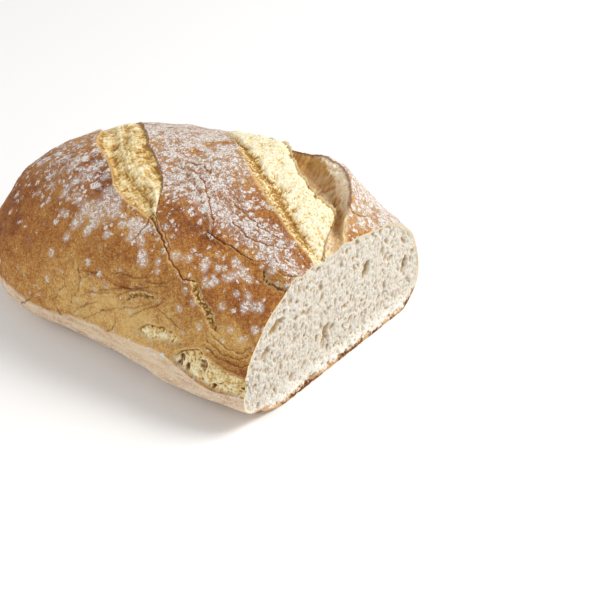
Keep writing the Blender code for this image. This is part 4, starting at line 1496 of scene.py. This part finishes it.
class Desk:
    """One material's nodes, set out and joined in code."""

    def __init__(self, name: str) -> None:
        """Starts a material.

        Args:
            name: The material's name.
        """
        self.material = bpy.data.materials.new(name)
        self.material.use_nodes = True
        self.tree = self.material.node_tree
        self.shader = self.tree.nodes["Principled BSDF"]
        self.place = self.add("ShaderNodeTexCoord").outputs["Object"]

    def add(self, kind: str, fed: dict | None = None, **settings: object) -> bpy.types.Node:
        """A new node.

        Args:
            kind: Which node it is.
            fed: What goes into its inputs, by their names or numbers.
            settings: Its other settings.

        Returns:
            The node.
        """
        node = self.tree.nodes.new(kind)
        for name, value in settings.items():
            setattr(node, name, value)
        for key, value in (fed or {}).items():
            self.feed(value, node.inputs[key])
        return node

    def feed(self, value: object, socket: bpy.types.NodeSocket) -> None:
        """Joins a socket to another, or sets its value.

        Args:
            value: Another socket, a number, a list or a paint.
            socket: The socket that takes it.
        """
        if isinstance(value, bpy.types.NodeSocket):
            self.tree.links.new(value, socket)
        else:
            socket.default_value = paint(value) if isinstance(value, tuple) else value

    def noise(
        self, size: float, detail: float = 3.0, rough: float = 0.55, stretch: Vec = (1.0, 1.0, 1.0)
    ) -> bpy.types.NodeSocket:
        """Noise in the loaf's own space.

        Args:
            size: Its wavelength in millimetres.
            detail: Its finer octaves.
            rough: How strong they are.
            stretch: How many times longer it is along each axis.

        Returns:
            The noise, around 0.5.
        """
        scale = [1 / (size * MM * times) for times in stretch]
        space = self.add("ShaderNodeMapping", {"Scale": scale, "Vector": self.place}).outputs[0]
        fed = {"Vector": space, "Scale": 1.0, "Detail": detail, "Roughness": rough}
        return self.add("ShaderNodeTexNoise", fed).outputs["Fac"]

    def shaken(self, size: float, amount: float) -> bpy.types.NodeSocket:
        """The loaf's own space, its points moved about.

        Args:
            size: The wavelength of the shaking in millimetres.
            amount: How far it moves them, in millimetres.

        Returns:
            The moved points.
        """
        noise = self.add("ShaderNodeTexNoise", {"Scale": 1 / (size * MM), "Vector": self.place})
        fed = {0: noise.outputs["Color"], 1: [2 * amount * MM] * 3, 2: self.place}
        return self.add("ShaderNodeVectorMath", fed, operation="MULTIPLY_ADD").outputs[0]

    def drops(self, size: float, density: object, vector: object) -> object:
        """Soft round drops of many sizes.

        Args:
            size: How far apart they are, in millimetres.
            density: The share of them that is there.
            vector: The space that they lie in.

        Returns:
            1 in the middle of a drop and 0 outside.
        """
        cells = self.add("ShaderNodeTexVoronoi", {"Scale": 1 / (size * MM), "Vector": vector})
        parts = self.add("ShaderNodeSeparateColor", {"Color": cells.outputs["Color"]})
        there = self.rises(self.sums("SUBTRACT", density, parts.outputs[0]), -0.05, 0.15)
        reach = self.sums("MULTIPLY_ADD", parts.outputs[1], 0.35, 0.3)
        inside = self.sums("DIVIDE", cells.outputs["Distance"], reach)
        return self.times(there, self.rises(inside, 1.1, 0.45))

    def tones(self, name: str) -> tuple[bpy.types.NodeSocket, ...]:
        """Reads one of the piece's named colours.

        Args:
            name: The name of the colours.

        Returns:
            The sockets of the four channels.
        """
        source = self.add("ShaderNodeAttribute", attribute_name=name)
        parts = self.add("ShaderNodeSeparateColor", {"Color": source.outputs["Color"]})
        return (*parts.outputs, source.outputs["Alpha"])

    def sums(self, kind: str, *values: object) -> bpy.types.NodeSocket:
        """The result of one sum, such as ADD or MULTIPLY."""
        return self.add("ShaderNodeMath", dict(enumerate(values)), operation=kind).outputs[0]

    def times(self, *values: object) -> object:
        """All the values multiplied."""
        return reduce(partial(self.sums, "MULTIPLY"), values)

    def highest(self, *values: object) -> object:
        """The highest of the values."""
        return reduce(partial(self.sums, "MAXIMUM"), values)

    def uneven(self, base: object, *noises: tuple[object, float]) -> object:
        """Lets a tone vary.

        Args:
            base: The tone.
            noises: Noises around 0.5, each with its strength.

        Returns:
            The uneven tone.
        """
        for noise, amount in noises:
            base = self.sums("MULTIPLY_ADD", self.sums("SUBTRACT", noise, 0.5), amount, base)
        return base

    def rises(self, value: object, low: float, high: float, top: float = 1.0) -> object:
        """Rises smoothly from 0 to a top value.

        Args:
            value: What is measured.
            low: Up to here the result is 0.
            high: From here on it is at its top, also where high is below low.
            top: The top value.

        Returns:
            The result.
        """
        fed = dict(enumerate((value, low, high, 0.0, top)))
        node = self.add("ShaderNodeMapRange", fed, interpolation_type="SMOOTHSTEP")
        return node.outputs["Result"]

    def coated(self, colour: object, *coats: tuple[object, object]) -> object:
        """Lays coats of other colours over a colour.

        Args:
            colour: The colour at the bottom.
            coats: Opacities and colours, from the bottom to the top.

        Returns:
            The colour that shows.
        """
        for opacity, coat in coats:
            fed = {0: opacity, 6: colour, 7: coat}
            node = self.add("ShaderNodeMix", fed, data_type="RGBA", clamp_factor=True)
            colour = node.outputs[2]
        return colour

    def ramp(self, value: object, stops: Stops) -> bpy.types.NodeSocket:
        """Reads a colour from a row of colours.

        Args:
            value: Where it is read, 0 to 1.
            stops: Places on the row with their colours.

        Returns:
            The colour.
        """
        node = self.add("ShaderNodeValToRGB", {"Fac": value})
        elements = node.color_ramp.elements
        while len(elements) < len(stops):
            elements.new(1.0)
        for element, (at, colour) in zip(elements, stops):
            element.position = at
            element.color = paint(colour)
        return node.outputs["Color"]

    def bump(self, height: object, distance: float, strength: float) -> None:
        """Gives the shader fine relief.

        Args:
            height: The relief, 0 to about 1.
            distance: How high 1 stands, in millimetres.
            strength: How much of it shows.
        """
        fed = {"Distance": distance * MM, "Strength": strength, "Height": height}
        node = self.add("ShaderNodeBump", fed)
        self.feed(node.outputs["Normal"], self.shader.inputs["Normal"])

    def surface(self, colour: object, roughness: object, **fixed: object) -> bpy.types.Material:
        """Joins the colour and the roughness, and sets the shader's fixed values.

        Args:
            colour: The base colour.
            roughness: The roughness.
            fixed: Values of other sockets, with _ for a space in their names.

        Returns:
            The finished material.
        """
        self.feed(colour, self.shader.inputs["Base Color"])
        self.feed(roughness, self.shader.inputs["Roughness"])
        for name, value in fixed.items():
            self.shader.inputs[name.replace("_", " ")].default_value = value
        return self.material


def paint(colour: Paint) -> tuple[float, float, float, float]:
    """Turns a screen colour into the light that it stands for.

    Args:
        colour: Red, green and blue, 0 to 255.

    Returns:
        Red, green, blue and opacity, 0 to 1.
    """
    part = np.array(colour) / 255
    light = np.where(part <= 0.04045, part / 12.92, ((part + 0.055) / 1.055) ** 2.4)
    return (*(float(value) for value in light), 1.0)


@dataclass(frozen=True)
class CrustFinish:
    """Baked crust under flour, and the torn dough of the scores."""

    baked: Stops = (
        (0.05, (224, 186, 118)), (0.34, (196, 144, 74)), (0.60, (168, 102, 43)),
        (0.82, (132, 72, 27)), (1.0, (92, 48, 20)),
    )
    stained: Paint = (134, 86, 60)  # crust under much flour
    flour: Paint = (250, 247, 244)
    thin_flour: Paint = (226, 215, 206)
    band: Paint = (238, 218, 194)
    bloom: Stops = (
        (0.0, (249, 241, 215)), (0.35, (241, 223, 175)), (0.7, (214, 178, 108)),
        (1.0, (164, 119, 57)),
    )
    hollow: Stops = (
        (0.2, (218, 180, 116)), (0.5, (186, 142, 76)), (0.9, (128, 86, 38)),
    )
    ledge: Paint = (255, 238, 208)  # torn thickness of the ear
    rim: Paint = (236, 200, 132)
    # singed crust, and the colour of the painted shade in cracks, pits, grooves and the hollow
    scorch_and_shade: Paint = (120, 62, 36)
    drop_sizes: Vec = (6.0, 4.0, 2.6)  # how far apart the drops of flour lie, in millimetres

    def dust(self, desk: Desk, flour: object, middle: object, fine: object, grit: object) -> object:
        """How much flour lies on the crust: soft drops, and clouds where there is much of it.

        Args:
            desk: The material's desk.
            flour: Density of the flour.
            middle: Noise of some millimetres.
            fine: Noise of about a millimetre.
            grit: The finest noise.

        Returns:
            The opacity of the flour, 0 to 1.
        """
        shaken = desk.shaken(2.4, 1.6)
        spread = desk.sums("MINIMUM", flour, 1.1)
        drops = (desk.drops(size, spread, shaken) for size in self.drop_sizes)
        cloud = desk.rises(desk.uneven(spread, (middle, 2.4)), 0.5, 1.2)
        vein = desk.sums("ABSOLUTE", desk.sums("SUBTRACT", desk.noise(7.0, 4, 0.65), 0.5))
        veined = desk.sums("ADD", desk.rises(vein, 0.0, 0.035, 0.6), 0.4)
        strewn = desk.times(desk.highest(*drops, desk.times(cloud, veined)), 0.85)
        heaps = desk.tones("strewn")[0]
        heaped = desk.rises(desk.uneven(heaps, (fine, 1.3)), 0.2, 1.35, 0.85)
        total = desk.uneven(desk.highest(strewn, heaped), (fine, 1.0), (grit, 1.9))
        thin = desk.rises(desk.uneven(fine, (middle, 1.1)), 0.3, 0.65)
        thick = desk.highest(flour, desk.times(heaps, 1.1))
        haze = desk.times(desk.rises(thick, 0.4, 1.0, 0.42), thin)
        return desk.highest(desk.rises(total, 0.3, 1.0, 0.94), haze)

    def material(self) -> bpy.types.Material:
        """Mixes the finish of the crust.

        Returns:
            The crust's material.
        """
        desk = Desk("baked_crust")
        brown, flour, dark, gold = desk.tones("bake")
        bloom, hollow, band, edge = desk.tones("kind")
        broad, middle = desk.noise(24, 2), desk.noise(6.0, 4, 0.6)
        fine, grit = desk.noise(1.6, 3, 0.65), desk.noise(0.65, 2, 0.6)

        tone = desk.uneven(brown, (broad, 0.4), (middle, 0.65), (fine, 0.9), (grit, 1.2))
        streaks = desk.uneven(desk.noise(2.0, 3, 0.65, (6.0, 1.0, 1.0)), (grit, 1.2))
        faded = desk.sums("ADD", desk.rises(streaks, 0.3, 0.62, 0.65), 0.3)
        faded = desk.times(desk.rises(desk.uneven(band, (middle, 0.9)), 0.3, 0.8), faded)
        stain = desk.rises(flour, 0.65, 1.0, 0.35)
        dust = self.dust(desk, flour, middle, fine, grit)
        powder = desk.rises(desk.uneven(grit, (fine, 0.8)), 0.35, 0.62)
        torn = desk.uneven(gold, (middle, 0.65), (fine, 0.4), (grit, 0.4))
        raw = desk.times(hollow, desk.sums("SUBTRACT", 1.0, bloom))
        inside = desk.uneven(0.35, (middle, 0.8), (fine, 0.7), (grit, 0.6))
        # Singeing and painted shade, from the dark tone
        burnt_and_shade = desk.rises(desk.uneven(dark, (fine, 0.3)), 0.12, 0.95, 0.92)
        colour = desk.coated(
            desk.ramp(tone, self.baked),
            (faded, self.band),
            (stain, self.stained),
            (dust, desk.coated(self.thin_flour, (powder, self.flour))),
            (desk.times(edge, 0.75), self.rim),
            (bloom, desk.ramp(torn, self.bloom)),
            (raw, desk.ramp(inside, self.hollow)),
            (desk.times(hollow, bloom, 0.6), self.ledge),
            (burnt_and_shade, self.scorch_and_shade),
        )

        whole = desk.rises(desk.sums("ADD", bloom, hollow), 1.0, 0.0)
        height = desk.sums("MULTIPLY_ADD", grit, 0.6, fine)
        height = desk.times(height, desk.sums("MULTIPLY_ADD", whole, 0.55, 0.45))
        height = desk.sums("MULTIPLY_ADD", desk.times(dust, whole), 0.25, height)
        desk.bump(height, 0.9, 0.8)
        return desk.surface(
            colour,
            desk.sums("MULTIPLY_ADD", dust, 0.2, 0.68),
            Specular_IOR_Level=0.3,
            Subsurface_Weight=0.08,
            Subsurface_Radius=(1.0, 0.55, 0.3),
            Subsurface_Scale=0.0016,
        )


@dataclass(frozen=True)
class CrumbFinish:
    """Soft cream-white crumb with a thin golden rind around it."""

    cream: Paint = (215, 208, 196)
    # painted shade of the pores and holes
    shade: Paint = (170, 138, 86)
    rind: Stops = (
        (0.0, (206, 152, 86)), (0.035, (222, 184, 122)), (0.08, (224, 206, 164)),
        (0.16, (226, 215, 190)), (0.3, (222, 214, 200)),
    )
    pale: Paint = (246, 242, 232)
    toasted: Paint = (198, 146, 80)
    under: Paint = (106, 62, 34)

    def material(self) -> bpy.types.Material:
        """Mixes the finish of the crumb.

        Returns:
            The crumb's material.
        """
        desk = Desk("soft_crumb")
        deep, rim, low, crusty = desk.tones("crumb")
        middle, fine, grit = desk.noise(5.0, 3), desk.noise(1.1, 3, 0.6), desk.noise(0.35, 2)
        # Painted shade in the pores and holes, read from the first crumb tone.
        shade = desk.uneven(desk.times(deep, 1.6), (middle, 0.5), (fine, 0.5), (grit, 0.3))
        width = desk.uneven(rim, (middle, 0.09), (fine, 0.05))
        patchy = desk.rises(desk.noise(3.4, 3, 0.7), 0.25, 0.55)
        near = desk.uneven(rim, (middle, 0.6), (fine, 0.5))
        below = desk.rises(low, 0.15, 0.5)
        spots = desk.rises(desk.noise(6.5, 3, 0.6), 0.42, 0.56)
        colour = desk.coated(
            self.cream,
            (desk.rises(shade, -0.05, 0.9), self.shade),
            (desk.times(desk.rises(width, 0.3, 0.12), crusty, patchy), desk.ramp(width, self.rind)),
            (desk.times(desk.rises(low, -0.25, 0.7), desk.rises(shade, 0.8, 0.1)), self.pale),
            (desk.times(below, desk.rises(near, 0.36, 0.12, 0.85)), self.toasted),
            (desk.times(below, desk.rises(near, 0.24, 0.08), spots), self.under),
        )
        desk.bump(desk.sums("MULTIPLY_ADD", grit, 0.5, fine), 0.5, 0.6)
        return desk.surface(
            colour,
            0.88,
            Specular_IOR_Level=0.2,
            Subsurface_Weight=0.45,
            Subsurface_Radius=(1.0, 0.75, 0.5),
            Subsurface_Scale=0.0028,
        )


@dataclass(frozen=True)
class Loaf:
    """The cut loaf: its crust in strips, its sole and its crumb."""

    crust: Crust = Crust()
    crumb: CrumbFace = CrumbFace()
    crust_finish: CrustFinish = CrustFinish()
    crumb_finish: CrumbFinish = CrumbFinish()
    sole_columns: int = 90

    def build(self) -> None:
        """Makes all pieces of the loaf."""
        chart, points, relief = self.crust.surface()
        settled = self.crust.body.settled(points)
        outward = facing(settled)
        outward[-1] = self.crust.body.directions(chart.share, chart.turn)[0][-1]
        pattern = self.crust.pattern
        band = pattern.foot_over(chart)
        flour = pattern.flour_over(chart) * (1 - 4.0 * np.clip(relief.low, -0.06, 0.2))
        tones = {
            "bake": (pattern.brown_over(chart), flour, relief.dark, relief.gold),
            "kind": (relief.bloom, relief.hollow, band, relief.edge),
            "strewn": (pattern.heaps_over(chart), *np.zeros((3, *band.shape))),
        }
        tones = {name: np.stack(parts, axis=-1) for name, parts in tones.items()}
        material = self.crust_finish.material()
        for zone, first, last in zip(Zone, chart.marks, chart.marks[1:]):
            strip = (slice(None), slice(first, last + 1))
            parts = {name: values[strip] for name, values in tones.items()}
            piece(zone.value, settled[strip], outward[strip], parts, material)
        self.sole(points, chart.place, tones, material)
        torn = np.clip(relief.bloom[0], 0, 1)
        self.crumb.build(self.crust, chart, points[0], torn, self.crumb_finish)

    def sole(
        self,
        points: np.ndarray,
        place: np.ndarray,
        tones: dict[str, np.ndarray],
        material: bpy.types.Material,
    ) -> None:
        """Makes the flat of the base.

        Args:
            points: The crust's points, in millimetres.
            place: Their distances from the cut.
            tones: The crust's tones.
            material: The crust's finish.
        """
        shares = np.linspace(0, 1, self.sole_columns)[:, None]
        back, front = points[:, -1:], points[:, :1]
        points = back + (front - back) * shares
        points[..., 2] = self.crust.base(points, place)
        points = self.crust.body.settled(points)
        parts = {
            name: np.broadcast_to(values[:, :1], (*points.shape[:2], 4))
            for name, values in tones.items()
        }
        down = np.broadcast_to(np.array([0.0, 0.0, -1.0]), points.shape)
        piece("sole_crust", points, down, parts, material)


@dataclass(frozen=True)
class Light:
    """A soft square light that looks at the loaf."""

    name: str
    place: Vec
    size: float
    power: float
    colour: Vec = (1.0, 1.0, 1.0)

    def switch_on(self, target: Vector) -> None:
        """Adds the light to the scene.

        Args:
            target: The point that it is turned to, in metres.
        """
        bpy.ops.object.light_add(type="AREA", location=self.place)
        lamp = bpy.context.object
        lamp.name = self.name
        lamp.data.size = self.size
        lamp.data.energy = self.power
        lamp.data.color = self.colour
        away = target - Vector(self.place)
        lamp.rotation_euler = away.to_track_quat("-Z", "Y").to_euler()


@dataclass(frozen=True)
class Studio:
    """A plain pale floor, soft lights and the camera."""

    aim: Vec = (0.0950, -0.0002, 0.030)  # appears at aim_pixel
    aim_pixel: tuple[float, float] = (333.8, 312.3)
    distance: float = 1.0
    focal_pixels: float = 2170.0
    back: Vec = (0.4907, -0.6547, 0.5749)
    right: Vec = (0.8002, 0.5997, 0.0)
    up: Vec = (-0.3448, 0.4600, 0.8182)
    sensor: float = 36.0
    floor_size: float = 8.0
    floor_colour: Paint = (250, 250, 250)
    sky: float = 0.42
    lit: Vec = (0.02, 0.0, 0.03)  # where the lights point
    lights: tuple[Light, ...] = (
        Light("key", (0.75, 0.55, 0.95), 0.6, 14.5, (1.0, 0.985, 0.96)),
        Light("fill", (-0.55, -1.0, 0.8), 0.8, 5.5, (0.98, 0.99, 1.0)),
    )

    def build(self) -> None:
        """Makes the floor, the lights and the camera."""
        self.lay_floor()
        for light in self.lights:
            light.switch_on(Vector(self.lit))
        world = bpy.data.worlds.new("studio")
        bpy.context.scene.world = world
        world.use_nodes = True
        background = world.node_tree.nodes["Background"].inputs
        background["Color"].default_value = (1, 1, 1, 1)
        background["Strength"].default_value = self.sky
        bpy.context.scene.view_settings.view_transform = "Standard"
        self.set_camera()

    def lay_floor(self) -> None:
        """Makes the plain pale floor."""
        bpy.ops.mesh.primitive_plane_add(size=self.floor_size, location=(0, 0, 0))
        floor = bpy.context.object
        floor.name = "floor"
        desk = Desk("pale_floor")
        floor.data.materials.append(desk.surface(self.floor_colour, 0.9))
        floor.select_set(False)

    def set_camera(self) -> None:
        """Makes the camera at the picture's viewing angle."""
        back, right, up = (Vector(v).normalized() for v in (self.back, self.right, self.up))
        half = PICTURE_WIDTH / 2
        ahead = -back * self.focal_pixels
        ahead -= right * (self.aim_pixel[0] - half)
        ahead += up * (self.aim_pixel[1] - half)
        ahead.normalize()
        side = ahead.cross(up).normalized()
        top = side.cross(ahead)
        turned = Matrix((side, top, -ahead)).transposed().to_4x4()
        bpy.ops.object.camera_add()
        camera = bpy.context.object
        camera.name = "camera"
        camera.matrix_world = Matrix.Translation(Vector(self.aim) + back * self.distance) @ turned
        camera.data.sensor_width = self.sensor
        camera.data.lens = self.sensor * self.focal_pixels / PICTURE_WIDTH
        camera.data.clip_start = 0.01
        bpy.context.scene.camera = camera


def main() -> None:
    """Loads the frame, dresses the loaf and sets up the studio."""
    logging.basicConfig(level=logging.INFO, format="%(message)s")
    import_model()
    Studio().build()
    Loaf().build()
    bpy.context.view_layer.update()


if __name__ == "__main__":
    main()
